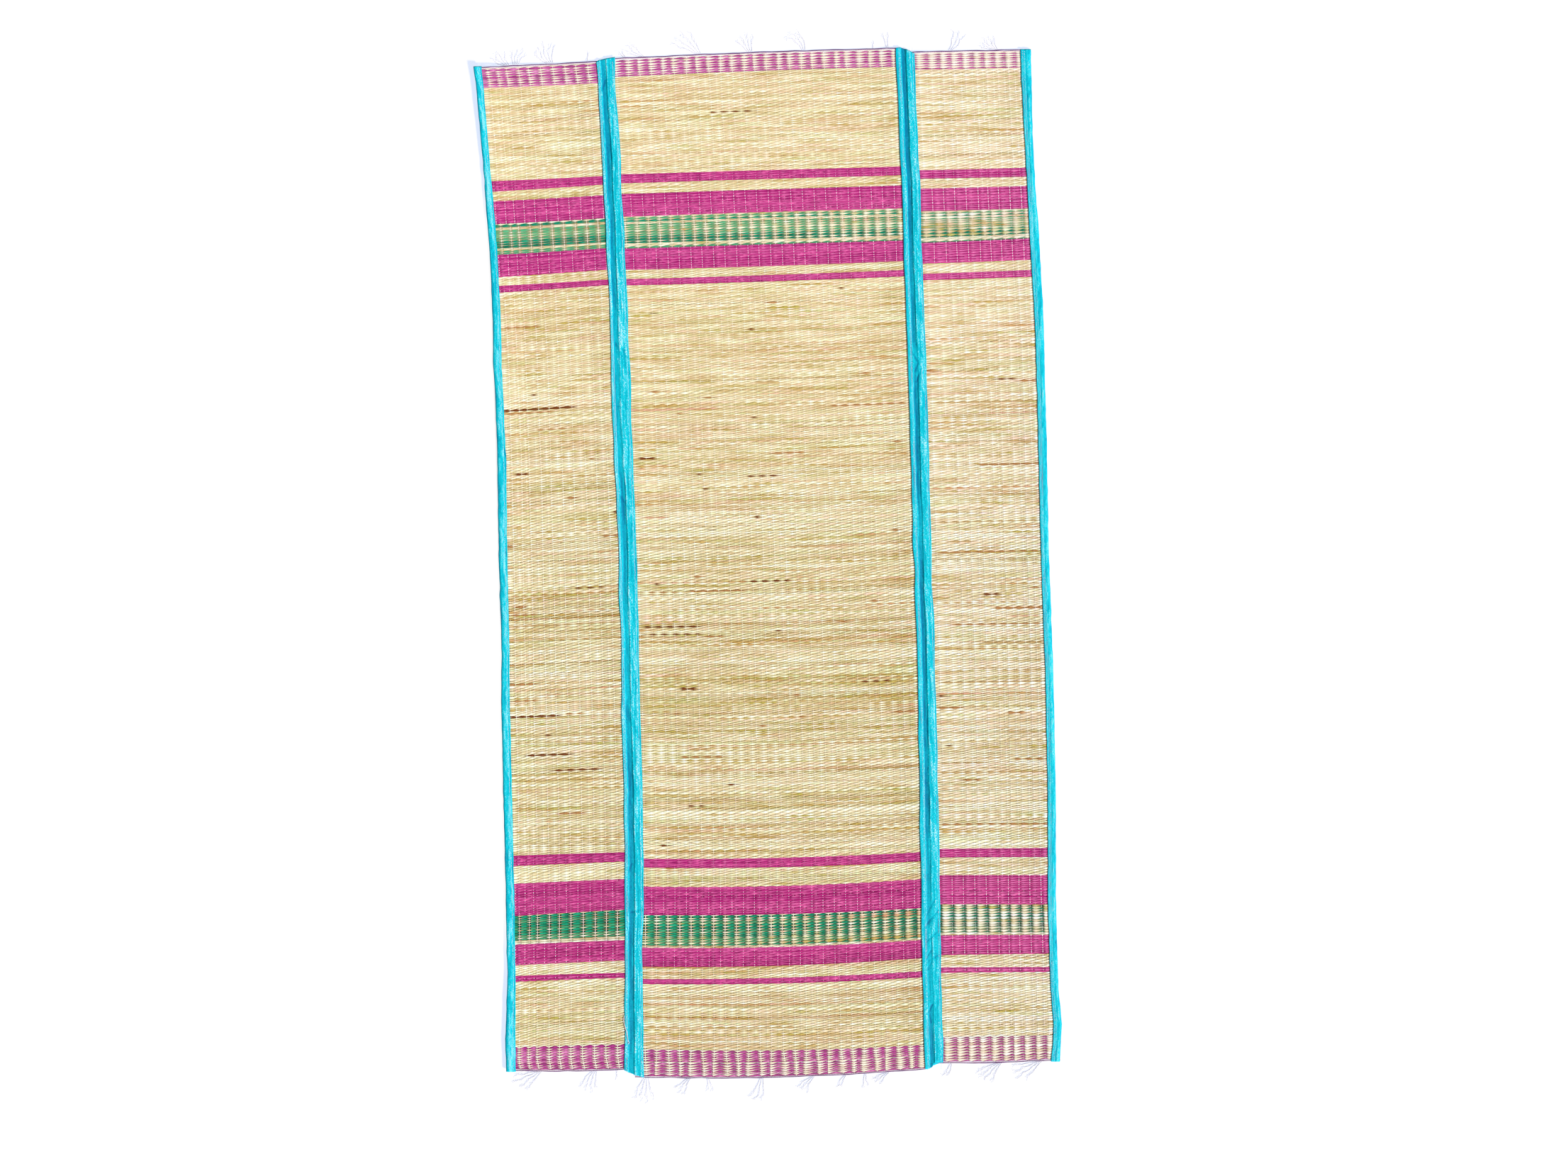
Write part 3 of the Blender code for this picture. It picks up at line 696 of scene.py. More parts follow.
def panel_edges(panel, y):
    """The left and right edges of a panel's reeds, inside the cloth that grips them."""
    left, right = [line_at(line, y) + stop for line, stop, _ in PANEL_SIDES[panel]]
    if panel == "left":
        left = left + binding_edges("binding_left", y)[0]
    if panel == "right":
        right = right - binding_edges("binding_right", y)[0]
    return left, right


def visible_edges(panel, y):
    """The left and right edges of what shows of a panel between its pieces of cloth."""
    return [line_at(line, y) + start for line, _, start in PANEL_SIDES[panel]]


def lift_at(x, y):
    """Height that the mat's left part stands off the floor, from nothing at its fold line."""
    fold = line_at("left_tape", y)
    edge = line_at("left", y)
    share = np.maximum(0.0, (fold - x) / (fold - edge))
    return line_at("lift", y) * share * share


def smooth_step(value):
    """Ease from 0 to 1 with level ends."""
    value = np.clip(value, 0.0, 1.0)
    return value * value * (3.0 - 2.0 * value)


def underside(panel, x, y):
    """Height of a panel's underside: raised in the cloth, and on the floor further in."""
    left, right = visible_edges(panel, y)
    inward = np.minimum(x - left, right - x) - LEVEL_LIP
    settled = smooth_step(inward / (SETTLE_WIDTH - LEVEL_LIP))
    return RAISED_UNDERSIDE * (1.0 - settled) + lift_at(x, y)


def slow_noise(random, count, span):
    """Random numbers of about unit size that change slowly, over this many places."""
    window = np.hanning(2 * span + 1)
    raw = random.standard_normal(count + 2 * span)
    return np.convolve(raw, window / np.sqrt(np.sum(window**2)), "valid")


def mild_noise(random, count):
    """Random numbers of about unit size, none of them extreme."""
    return random.standard_normal(count).clip(-NOISE_LIMIT, NOISE_LIMIT)


def xyz(x, y, z):
    """Join coordinates into points."""
    return np.stack(np.broadcast_arrays(x, y, z), axis=-1)


def line_y(left, right, bow, share):
    """Place along the mat of a line across a panel, at shares of the way from its left end."""
    return left + (right - left) * share + bow * 4.0 * share * (1.0 - share)


def whole_lines(panel):
    """Each line across a panel as its left end, right end and bow, with the panel's own ends."""
    rows = named_rows(CROSS_COLUMNS, CROSS_LINES_MM)
    lines = np.array([(row[f"{panel}_l"], row[f"{panel}_r"], row["bow"]) for row in rows]) * MM
    if panel in OUTER_BOWS_MM:
        lines[:, 2] = 0.0
        lines[[0, -1], 2] = np.array(OUTER_BOWS_MM[panel]) * MM
    return lines


def cross_lines(panel):
    """Each line across a panel's reeds, without the last reed at each end."""
    lines = whole_lines(panel)
    inset = END_REED_WIDTH + CLEARANCE
    lines[0, :2] -= inset
    lines[-1, :2] += inset
    return lines


def end_line(panel, end, x):
    """Place along the mat of a panel's very end, at places across the mat."""
    line = whole_lines(panel)[0 if end == "top" else -1]
    left, right = panel_edges(panel, line[0])
    return line_y(*line, (x - left) / (right - left))


def reed_rows(panel, random):
    """What is known of each of a panel's reeds, far end first, as columns by name."""
    lines = cross_lines(panel)
    zones = []
    for number, (kind, far, near) in enumerate(zip(ZONES, lines, lines[1:])):
        depth = far[:2].mean() + far[2] - near[:2].mean() - near[2]
        count = 2 * max(1, round(depth / (2.0 * REED_PITCH[kind])))
        sizes = 1.0 + UNEVENNESS * mild_noise(random, count)
        sizes = sizes + UNEVENNESS * np.repeat(mild_noise(random, count // 2), 2)
        middles = (np.cumsum(sizes) - 0.5 * sizes) / np.sum(sizes)
        looks = np.array(ROW_LOOKS.get(number, ((0.0, 0.0),)))
        look = looks[(middles * len(looks)).astype(int)]
        zones.append({
            "line": far + (near - far) * middles[:, None],
            "pitch": depth * sizes / np.sum(sizes),
            "kind": np.full(count, kind),
            "growth": look[:, 0],
            "faded": look[:, 1],
            "first": np.arange(count) == 0,
            "outer": np.isin(np.arange(count), (0, count - 1)),
        })
    reeds = {name: np.concatenate([zone[name] for zone in zones]) for name in zones[0]}
    reeds["odd"] = np.arange(len(reeds["kind"])) % 2 == 1
    return reeds


def from_picture(x, y):
    """Place on the mat's plane of a point in the picture."""
    across = (x - PICTURE_MIDDLE[0]) * VIEW_WIDTH / PICTURE_WIDTH
    up = (PICTURE_MIDDLE[1] - y) * VIEW_WIDTH / PICTURE_WIDTH
    cos, sin = math.cos(VIEW_TURN), math.sin(VIEW_TURN)
    return VIEW_CENTRE[0] + across * cos - up * sin, VIEW_CENTRE[1] + across * sin + up * cos


def add_stains(panel, reeds):
    """Give each stain and painted shadow row on a panel to the nearest reed that has none, as the ends
    and colour of its part.
    """
    count = len(reeds["kind"])
    reeds["stain"] = np.zeros((count, 2))
    reeds["stain_colour"] = np.ones((count, 3))
    stains = [(kind, *place) for kind, places in STAINS_AND_SHADOWS.items() for place in places]
    for kind, start, end, height in stains:
        x, y = from_picture(0.5 * (start + end), height)
        left, right = panel_edges(panel, y)
        if left < x < right:
            away = np.abs(line_y(*reeds["line"].T, (x - left) / (right - left)) - y)
            away[reeds["stain"][:, 0] != 0.0] = 1.0
            half = 0.5 * (end - start) * VIEW_WIDTH / PICTURE_WIDTH
            reeds["stain"][np.argmin(away)] = (x - half, x + half)
            reeds["stain_colour"][np.argmin(away)] = STAIN_AND_SHADOW_COLOURS[kind]


def by_kind(table, kinds):
    """Look up each reed's kind in a table, as one column."""
    return np.array([table[kind] for kind in kinds]).reshape(len(kinds), -1)


def thread_places(panel):
    """Warp threads as (distance across what shows of the panel, main or second)."""
    main = THREADS_MM[panel]
    after = main[1:] + (2.0 * main[-1] - main[-2],)
    second = [place + (later - place) * SECOND_THREAD_SHARE for place, later in zip(main, after)]
    before = second[0] - (main[1] - main[0])
    places = [(place, ON_MAIN) for place in main]
    places += [(place, ON_SECOND) for place in [before] + second]
    most = VISIBLE_WIDTHS_MM[panel] + LAST_THREAD_MM
    return sorted(place for place in places if -CLOTH_GRIP_MM < place[0] < most)


def thread_x(panel, place, number, y):
    """Where a warp thread lies across the mat, with its slow wander."""
    left, right = visible_edges(panel, y)
    straight = left + place / VISIBLE_WIDTHS_MM[panel] * (right - left)
    length = THREAD_WAVE_LENGTH + THREAD_WAVE_CHANGE * (number % THREAD_WAVE_KINDS)
    wave = np.sin(y / length + THREAD_WAVE_PHASE * number)
    bend = THREAD_END_BENDS_MM[panel][number % len(THREAD_END_BENDS_MM[panel])] * MM
    near = bend * smooth_step((THREAD_BEND_START + y) / -THREAD_BEND_LENGTH)
    far = -0.5 * bend * smooth_step((y - THREAD_BEND_START) / THREAD_BEND_LENGTH)
    return straight + THREAD_WANDER * wave + near + far


def weave_grid(panel, lines, fine):
    """Places where the shape of a panel's reeds is set, and what each place is."""
    along = lines[:, :2].mean(axis=1) + lines[:, 2]
    left, right = panel_edges(panel, along)
    columns = [left]
    spots = [AT_EDGE]
    for number, (place, spot) in enumerate(thread_places(panel)):
        x = thread_x(panel, place, number, along)
        if fine and number:
            share, extra = EXTRA_PLACES[spot]
            columns.append(columns[-1] + (x - columns[-1]) * share)
            spots.append(extra)
        columns.append(x)
        spots.append(spot)
    columns.append(right)
    spots.append(AT_EDGE)
    x = np.stack(columns, axis=1)
    share = (x - left[:, None]) / (right - left)[:, None]
    return x, line_y(*lines.T[..., None], share), share, np.array(spots)


def calm_at(y):
    """How calm the weave looks at places along the mat, from 0 at the near end to 1."""
    return smooth_step((y - CALM_START) / (CALM_END - CALM_START))


def straw_colours(random, share, along):
    """Colours of undyed reeds, which differ from reed to reed and drift along the mat."""
    count = len(share)
    levels = [
        look["slow"] * slow_noise(random, count, look["span"])
        + look["each"] * random.standard_normal(count)
        for look in STRAW_CHANGES
    ]
    brown = random.random(count) < BROWN_SHARE
    lively = 1.0 - STRAW_CALM * calm_at(along)
    drift = random.standard_normal(count)[:, None] * (share - 0.5)
    patches = random.standard_normal((len(levels),) + share.shape)
    spread = sum(np.roll(patches, step, axis=2) for step in PATCH_STEPS)
    patches = PATCH_SIZES[0] * patches + PATCH_SIZES[1] * spread
    colours = np.array(CREAM)
    for look, level, patch in zip(STRAW_CHANGES, levels, patches):
        level = ((level + look["brown"] * brown) * lively)[:, None] + look["drift"] * drift + patch
        change = 0.5 * (np.array(look["more"]) - np.array(look["less"]))
        colours = colours + change * level[..., None].clip(*look["limits"])
    return np.clip(colours, *STRAW_LIMITS)


def dyed_colours(random, share, deep, pale, faded=0.0):
    """Colours of dyed reeds, some of which took less dye, with short brighter and darker streaks."""
    amount = np.abs(REED_DYE_LOSS * random.standard_normal(len(share)))[:, None]
    amount = amount + PLACE_DYE_LOSS * random.random(share.shape)
    streak = random.random(share.shape)
    amount = amount + faded + PALE_STREAK * (streak < PALE_STREAK_SHARE)
    mix = amount.clip(0.0, 1.0)[..., None]
    colours = np.array(deep) * (1.0 - mix) + np.array(pale) * mix
    return colours * np.where(streak > DARK_STREAK_FROM, DARK_STREAK, 1.0)[..., None]


def green_colours(panel, random, faded, share, along, spots):
    """Colours of green reeds: deep at the second threads, and yellow at and before the main ones."""
    green = dyed_colours(random, share, GREEN, LIME)
    pale = (PALE_GREEN_SHARE * faded).clip(0.0, 1.0)[:, None, None]
    green = (1.0 - pale) * green + pale * np.array(PALE_GREEN)
    green = green * (1.0 + np.minimum(0.0, faded))[:, None, None]
    rightward = {"left": 0.0, "centre": share, "right": 1.0}[panel]
    deep = DEEP_GREEN_SHADE * rightward * np.where(along < 0.0, 1.0, 0.5)[:, None]
    green = green * (1.0 - deep * (spots == ON_SECOND))[..., None]
    fade = np.where(along > 0.0, *GREEN_FADES)[:, None] + GREEN_FADE_ACROSS * share
    fade = fade + GREEN_FADE_LOST * faded[:, None]
    beside = (spots == BEFORE_MAIN) | (spots == ON_MAIN)
    fade = (fade * np.where(beside, 1.0, 0.0))[..., None].clip(0.0, GREEN_FADE_MOST)
    return (1.0 - fade) * green + fade * np.array(FADED_GREEN)


def reed_colours(panel, random, reeds, share, along, spots):
    """The colour of each reed at each place where its shape is set."""
    kinds, odd, faded = reeds["kind"], reeds["odd"], reeds["faded"]
    ripe = calm_at(along)[:, None]
    ends = np.array(NEAR_TONE) * (1.0 - ripe) + np.array(FAR_TONE) * ripe
    tones = np.array(PANEL_TONES[panel]) * ends
    colours = straw_colours(random, share, along) * tones[:, None, :]
    magenta = dyed_colours(random, share, MAGENTA, PALE_MAGENTA, 0.5 * faded[:, None])
    green = green_colours(panel, random, faded, share, along, spots)
    banded = kinds == "band"
    colours[banded] = 0.5 * (colours[banded] + np.array(BAND_CREAM))
    for chosen, dyed in (
        (kinds == "magenta", magenta),
        (banded & odd, magenta * np.array(BAND_SHADE)),
        ((kinds == "green") & odd & (faded < 1.0), green),
    ):
        colours[chosen] = dyed[chosen]
    return colours


def build_mesh(name, points, groups, uv):
    """A smooth mesh of points and groups of faces, each group an array of (face, corner)."""
    corners = np.concatenate([group.ravel() for group in groups])
    sizes = np.concatenate([np.full(len(group), group.shape[1]) for group in groups])
    mesh = bpy.data.meshes.new(name)
    mesh.vertices.add(points.size // 3)
    mesh.vertices.foreach_set("co", points.astype(np.float32).ravel())
    mesh.loops.add(len(corners))
    mesh.loops.foreach_set("vertex_index", corners.astype(np.int32))
    mesh.polygons.add(len(sizes))
    mesh.polygons.foreach_set("loop_start", (np.cumsum(sizes) - sizes).astype(np.int32))
    mesh.update(calc_edges=True)
    mesh.polygons.foreach_set("use_smooth", np.ones(len(sizes), bool))
    layer = mesh.uv_layers.new(name="OFBake")
    layer.uv.foreach_set("vector", uv.reshape(-1, 2)[corners].astype(np.float32).ravel())
    return mesh


def plan_uv(points):
    """Picture places for points as seen from straight above."""
    flat = points.reshape(-1, 3)[:, :2]
    low, high = flat.min(axis=0), flat.max(axis=0)
    return (flat - low) / (high - low)


def bar_faces(bars, nodes, first):
    """Faces of three-cornered bars whose points start at this number: long sides, then ends."""
    index = first + np.arange(bars * nodes * 3).reshape(bars, nodes, 3)
    start, end = index[:, :-1], index[:, 1:]

    def side(a, b):
        quad = np.stack([start[..., a], start[..., b], end[..., b], end[..., a]], axis=-1)
        return quad.reshape(-1, 4)

    ends = np.concatenate([index[:, 0], index[:, -1, ::-1]])
    return [side(2, 0), side(0, 1), side(1, 2), ends]


def bar_mesh(name, sets):
    """A mesh of three-cornered bars, from sets of (points, colours).

    Points are (bar, node, corner, xyz) and the crest is corner 1."""
    groups = []
    first = 0
    for points, _ in sets:
        groups += bar_faces(points.shape[0], points.shape[1], first)
        first += points.size // 3
    points = np.concatenate([points.reshape(-1, 3) for points, _ in sets])
    colours = np.concatenate([colours.reshape(-1, 4) for _, colours in sets])
    groups.sort(key=lambda group: -group.shape[1])
    mesh = build_mesh(name, points, groups, plan_uv(points))
    edges = np.empty(len(mesh.edges) * 2, np.int32)
    mesh.edges.foreach_get("vertices", edges)
    crest = (edges.reshape(-1, 2) % 3 == 1).all(axis=1)
    sharp = mesh.attributes.new("sharp_edge", "BOOLEAN", "EDGE")
    sharp.data.foreach_set("value", ~crest)
    tint = mesh.attributes.new("tint", "FLOAT_COLOR", "POINT")
    tint.data.foreach_set("color", colours.astype(np.float32).ravel())
    return mesh


def bar_points(x, y, z, side, height):
    """Corner points of bars at each node: one side, the crest and the other side.

    Side is how far the sides lie from the middle, across and along the mat."""
    one = xyz(x - side[0], y - side[1], z)
    other = xyz(x + side[0], y + side[1], z)
    return np.stack([one, xyz(x, y, z + height), other], axis=-2)


def path_points(path, width, taper=1.0):
    """Corner points of bars along paths of (bar, node, xyz), as high as they are wide."""
    along = np.gradient(path[..., :2], axis=1)
    along = along / np.linalg.norm(along, axis=-1, keepdims=True)
    half = 0.5 * width * taper
    side = (half * along[..., 1], -half * along[..., 0])
    return bar_points(*np.moveaxis(path, -1, 0), side, width)


def bar_colours(points, tint):
    """The same tint for all corners of a bar's nodes, times the material's own, with no painted crease
    shade at the edges.
    """
    colours = np.ones(points.shape[:3] + (4,))
    colours[..., :3] = tint
    return colours


def plain_bars(name, points, tint=(1.0, 1.0, 1.0)):
    """A mesh of three-cornered bars with a tint, or with one for each of their nodes."""
    return bar_mesh(name, [(points, bar_colours(points, tint))])


def ring_mesh(name, rings, tone):
    """A closed strip of cloth: rings is (row, point, xyz), each joined to the next, with two ends."""
    rows, count = rings.shape[:2]
    index = np.arange(rows * count).reshape(rows, count)
    after = np.roll(index, -1, axis=1)
    quads = np.stack([index[:-1], after[:-1], after[1:], index[1:]], axis=-1).reshape(-1, 4)
    across, along = np.meshgrid(np.linspace(0.0, 1.0, count), np.linspace(0.0, 1.0, rows))
    uv = np.stack([across, along], axis=-1)
    mesh = build_mesh(name, rings, [quads, index[:1, ::-1], index[-1:]], uv)
    layer = mesh.attributes.new("tone", "FLOAT", "POINT")
    layer.data.foreach_set("value", tone.astype(np.float32).ravel())
    return mesh


def add_object(name, data):
    """Make an object and put it in the scene."""
    made = bpy.data.objects.new(name, data)
    bpy.context.scene.collection.objects.link(made)
    return made


def add_piece(mesh, material, replaced=()):
    """Make an object of a mesh, with its name, on the model's only body."""
    piece = add_object(mesh.name, mesh)
    mesh.materials.append(material)
    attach(piece, "root")
    if replaced:
        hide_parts(*replaced)
    return piece


def growth_at(table, panel, share):
    """Read a table of growths at the left and right of each panel, at shares of the way across."""
    left, right = table[panel]
    return left + (right - left) * share


def reed_shares(panel, random, reeds, share, spots, stained):
    """How much of a row one of its two reeds takes up at each place."""
    kinds, outer = reeds["kind"], reeds["outer"][:, None]
    growth = by_kind(GROWTH_SHARE, kinds) * growth_at(SECOND_GROWTH, panel, share)
    for kind, table in (("green", GREEN_GROWTH), ("band", BAND_GROWTH)):
        growth = growth + (kinds == kind)[:, None] * growth_at(table, panel, share)
    uneven = GROWTH_UNEVENNESS * random.standard_normal((len(kinds), 1))
    growth = (growth + reeds["growth"][:, None] + uneven) * np.where(outer, EDGE_GROWTH, 1.0)
    swell = by_kind(CROSSING_SWELL, kinds) * FIRST_SWELL[spots] * np.where(outer, EDGE_SWELL, 1.0)
    more = swell - 0.5 * growth
    part = 0.5 + np.where(reeds["odd"][:, None], -more, more)
    limits = by_kind(REED_LIMITS, kinds)
    return part.clip(np.where(stained, STAIN_AND_SHADOW_LEAST, limits[:, :1]), limits[:, 1:])


def dip_shades(reeds, dipped, calm):
    """Painted shade on reeds where they dip under a thread, lighter where faded or calm."""
    kinds = reeds["kind"]
    shade = by_kind(DIP_SHADE, kinds)
    faded = np.maximum(0.0, reeds["faded"])[:, None]
    shade = (shade + FADED_CLEAR * faded * (1.0 - shade))[:, None, :]
    lifted = calm * np.where(kinds == "straw", 0.0, 1.0)[:, None]
    shade = shade + lifted[..., None] * (1.0 - shade)
    return np.where(dipped[..., None], shade, 1.0)


def reed_set(panel, random, reeds, fine):
    """Points, colours and widths of some of a panel's reeds, given as columns by name."""
    kinds, odd = reeds["kind"], reeds["odd"][:, None]
    x, y, share, spots = weave_grid(panel, reeds["line"], fine)
    up = np.where(odd, 1.0 - FIRST_UP[spots], FIRST_UP[spots])
    stained = (x > reeds["stain"][:, :1]) & (x < reeds["stain"][:, 1:])
    part = reed_shares(panel, random, reeds, share, spots, stained)
    width = 2.0 * reeds["pitch"][:, None] * REED_OVERLAP * part
    height = by_kind(REED_HEIGHT, kinds)
    calm = FAR_CALM * calm_at(y)
    bend = by_kind(BEND, kinds)[:, spots] * (1.0 - calm)
    z = underside(panel, x, y) + (REED_THICKNESS - height) * (0.5 + bend * (up - 0.5))
    bow = np.where(y > 0.0, by_kind(FAR_BOW, kinds), by_kind(NEAR_BOW, kinds))
    stray = REED_STRAY_MM * random.standard_normal((len(kinds), 1))
    y = y + MM * (bow * BOW_SHAPE[spots] + stray)
    tint = reed_colours(panel, random, reeds, share, y[:, 0], spots)
    tint = np.where(stained[..., None], reeds["stain_colour"][:, None, :], tint)
    # Painted shade where a reed dips under a thread, with its low point moved a little beside the
    # thread
    dipped = up < DIP_FROM
    tint = tint * dip_shades(reeds, dipped, calm)
    points = bar_points(x + DIP_SHIFT * dipped, y, z, (0.0, -0.5 * width), height)
    colours = bar_colours(points, tint[:, :, None, :])
    # Painted highlight along the crest of magenta reeds that pass over the main threads
    lit = (GLINT_SHARE[panel] * GLINTS[spots] * (~odd & (kinds == "magenta")[:, None]))[..., None]
    colours[:, :, 1, :3] += lit * (np.array(GLINT_COLOUR) - tint)
    # Painted shade along each reed's edges, and deeper on the far edge of the first reed of each kind
    # of weave
    colours[:, :, 0::2, :3] *= by_kind(EDGE_SHADE, kinds)[:, :, None, None]
    colours[reeds["first"], :, 0, :3] *= FIRST_REED_SHADE
    # How free each edge is of the material's painted crease shade, kept in the tint's alpha
    clear = by_kind(EDGE_CLEAR, kinds) + OVER_CLEAR * up + CALM_CLEAR * calm
    colours[:, :, 0::2, 3] = clear[..., None]
    return points, colours, width


def add_reeds(panel, material):
    """Both sets of a panel's reeds: those that pass over the main threads, and the others."""
    random = np.random.default_rng(SEEDS["reeds"] + PANELS.index(panel))
    reeds = reed_rows(panel, random)
    add_stains(panel, reeds)
    fine = reeds["kind"] != "straw"
    for parity, letter in ((False, "a"), (True, "b")):
        sets = []
        for detailed in (False, True):
            chosen = (reeds["odd"] == parity) & (fine == detailed)
            some = {name: values[chosen] for name, values in reeds.items()}
            points, colours, width = reed_set(panel, random, some, detailed)
            sets.append((points, colours))
        mesh = bar_mesh(f"reeds_{panel}_{letter}", sets)
        piece = add_piece(mesh, material, [f"panel_{panel}"])


def thread_course(middles):
    """Nodes along warp threads, as shares of their length from the near end, tints and rises."""
    course = []
    for kind, far, near in zip(ZONES, middles, middles[1:]):
        nodes = 2 + int((far - near) / THREAD_STEP)
        places = np.linspace(far - THREAD_INSET, near + THREAD_INSET, nodes)
        # Painted shade on threads in undyed stretches, growing towards the far end
        dark = 1.0 - FAR_THREAD_SHADE * (kind == "straw") * calm_at(places)[:, None]
        thin = kind == "magenta" and far - near < THIN_STRIPE
        rise = np.tile(THREAD_RISE_MM["thin" if thin else kind], (nodes, 1)) * MM
        share = (places - middles[-1]) / (middles[0] - middles[-1])
        course.append((share, np.tile(THREAD_TINT[kind], (nodes, 1)) * dark, rise))
    return [np.concatenate(column) for column in zip(*course)]


def add_threads(panel, material):
    """The warp threads of a panel, which show between the reeds that pass over them."""
    threads = thread_places(panel)
    lines = cross_lines(panel)
    shares, tints, rises = thread_course(lines[:, :2].mean(axis=1) + 0.5 * lines[:, 2])
    visible = VISIBLE_WIDTHS_MM[panel]
    bars = []
    for number, (place, spot) in enumerate(threads):
        across = (place + CLOTH_GRIP_MM) / (visible + 2.0 * CLOTH_GRIP_MM)
        near, far = [line_y(*line, across) for line in (lines[-1], lines[0])]
        y = near + (far - near) * shares
        x = thread_x(panel, place, number, y)
        z = underside(panel, x, y) + rises[:, spot]
        bars.append(bar_points(x, y, z, (0.5 * THREAD_WIDTH, 0.0), THREAD_HEIGHT))
    white = np.interp([place for place, _ in threads], (0.0, visible), THREAD_WHITENESS[panel])
    tints = tints[None] + white[:, None, None] * (1.0 - tints[None])
    mesh = plain_bars(f"threads_{panel}", np.array(bars), tints[:, :, None, :])
    add_piece(mesh, material)


def cloth_column(piece, name):
    """Places across a cloth strip and one column of its face, in metres or as it stands."""
    rows = named_rows(FACE_COLUMNS, CLOTH_FACES_MM[piece])
    scale = MM if name == "height" else 1.0
    return [row["across"] * MM for row in rows], [row[name] * scale for row in rows]


def cloth_rows(piece):
    """Places along a cloth strip's left and right sides, in even rows from its near end."""
    row = CLOTH[piece]
    ends = [(row[f"bottom_{side}"] * MM, row[f"top_{side}"] * MM) for side in ("left", "right")]
    count = round((ends[0][1] - ends[0][0]) / CLOTH_ROW_STEP) + 1
    return [np.linspace(near, far, count) for near, far in ends]


def stitch_dips(piece, across, y):
    """How far a cloth strip's face is drawn down beside each of its stitches."""
    dip = np.zeros(np.broadcast(across, y).shape)
    for number, (name, place, _, _) in enumerate(STITCH_LINES_MM):
        if name == piece:
            near = np.exp(-(((across - place * MM) / STITCH_REACH) ** 2))
            wave = 0.5 - 0.5 * np.cos(math.tau * (y / STITCH_PITCH + STITCH_PHASE * number))
            dip = dip + STITCH_DIP * near * (DIP_BETWEEN + (1.0 - DIP_BETWEEN) * wave)
    return dip


def cloth_look(piece, name, across, y):
    """One column of a cloth strip's face at places on it, with a tape's valley as it runs there."""
    places, values = cloth_column(piece, name)
    if piece not in VALLEYS_MM:
        return np.interp(across, places, values) + np.zeros_like(y)
    along, depth, shift = np.array(VALLEYS_MM[piece][::-1]).T
    depth = np.interp(y, along * MM, depth)
    shift = np.interp(y, along * MM, shift) * MM
    inside = np.clip(np.minimum(across, TAPE_WIDTH - across) / VALLEY_MARGIN, 0.0, 1.0)
    look = np.interp(across - shift * inside, places, values)
    level = np.interp(across, places, np.maximum(values, values[2]))
    return level + depth * (look - level)


def crease_depth(piece, across, y):
    """How far a cloth strip's face dips in its creases."""
    depth = np.zeros(np.broadcast(across, y).shape)
    for crease in CREASES_MM.get(piece, ()):
        across_a, y_a, across_b, y_b, deep = np.array(crease) * MM
        run = (across_b - across_a) ** 2 + (y_b - y_a) ** 2
        share = ((across - across_a) * (across_b - across_a) + (y - y_a) * (y_b - y_a)) / run
        share = np.clip(share, 0.0, 1.0)
        aside = across - across_a - share * (across_b - across_a)
        away = aside**2 + (y - y_a - share * (y_b - y_a)) ** 2
        depth = np.maximum(depth, deep * np.exp(-away / CREASE_REACH**2))
    return depth


def cloth_height(piece, across, y):
    """Height of a cloth strip's upper face, before its wrinkles."""
    level = cloth_look(piece, "height", across, y)
    return level - stitch_dips(piece, across, y) - crease_depth(piece, across, y)


def wrinkles(random, rows, across):
    """Small uneven folds over the face of a cloth strip, about one unit high."""
    knots = np.arange(round(across[-1] / WRINKLE_PITCH) + 1)
    total = 0.0
    for size, span in (SHORT_WRINKLES, LONG_WRINKLES):
        total = total + size * np.stack([slow_noise(random, rows, span) for _ in knots], axis=1)
    size, span = SLANTED_WRINKLES
    slanted = slow_noise(random, rows + WRINKLE_SLANT * len(knots), span)
    slanted = np.stack([slanted[WRINKLE_SLANT * knot :][:rows] for knot in knots], axis=1)
    total = total + size * slanted
    share = across / across[-1] * (len(knots) - 1)
    low = np.minimum(share.astype(int), len(knots) - 2)
    blend = smooth_step(share - low)
    return total[:, low] * (1.0 - blend) + total[:, low + 1] * blend


def strip_x(piece, across, y):
    """Places across the mat of points on a cloth strip, with the run of an edge binding's sides."""
    row = CLOTH[piece]
    if piece in BINDING_EDGES_MM:
        fold, sewn = binding_edges(piece, y)
        across = across + fold + (sewn - fold) * across / BINDING_WIDTH
    return line_at(row["line"], y) + row["side"] * across


def worn_ends(piece, across, y, sides):
    """Places along the mat of points on a cloth strip, drawn back where its ends are worn."""
    for end, edge, inward in (("top", -1, -1.0), ("bottom", 0, 1.0)):
        places, insets = np.array(END_INSETS_MM.get((piece, end), ((0.0, 0.0),))).T * MM
        middle = 0.5 * (sides[0][edge] + sides[1][edge])
        near = smooth_step(1.0 - np.abs(y - middle) / END_FADE)
        y = y + inward * near * np.interp(across, places, insets)
    return y


def place_strip(piece, across, height, sides, wander):
    """Put a strip's cross-sections along its long line: points as (row, point, xyz).

    Wander is how far each row's two sides stray."""
    row = CLOTH[piece]
    share = across / row["width"]
    stray = wander[0][:, None] * (1.0 - share) + wander[1][:, None] * share
    if row["side"] < 0.0:
        share = 1.0 - share
    y = sides[0][:, None] * (1.0 - share) + sides[1][:, None] * share
    y = worn_ends(piece, across, y, sides)
    x = strip_x(piece, across, y) + stray
    return xyz(x, y, height + lift_at(x, y))


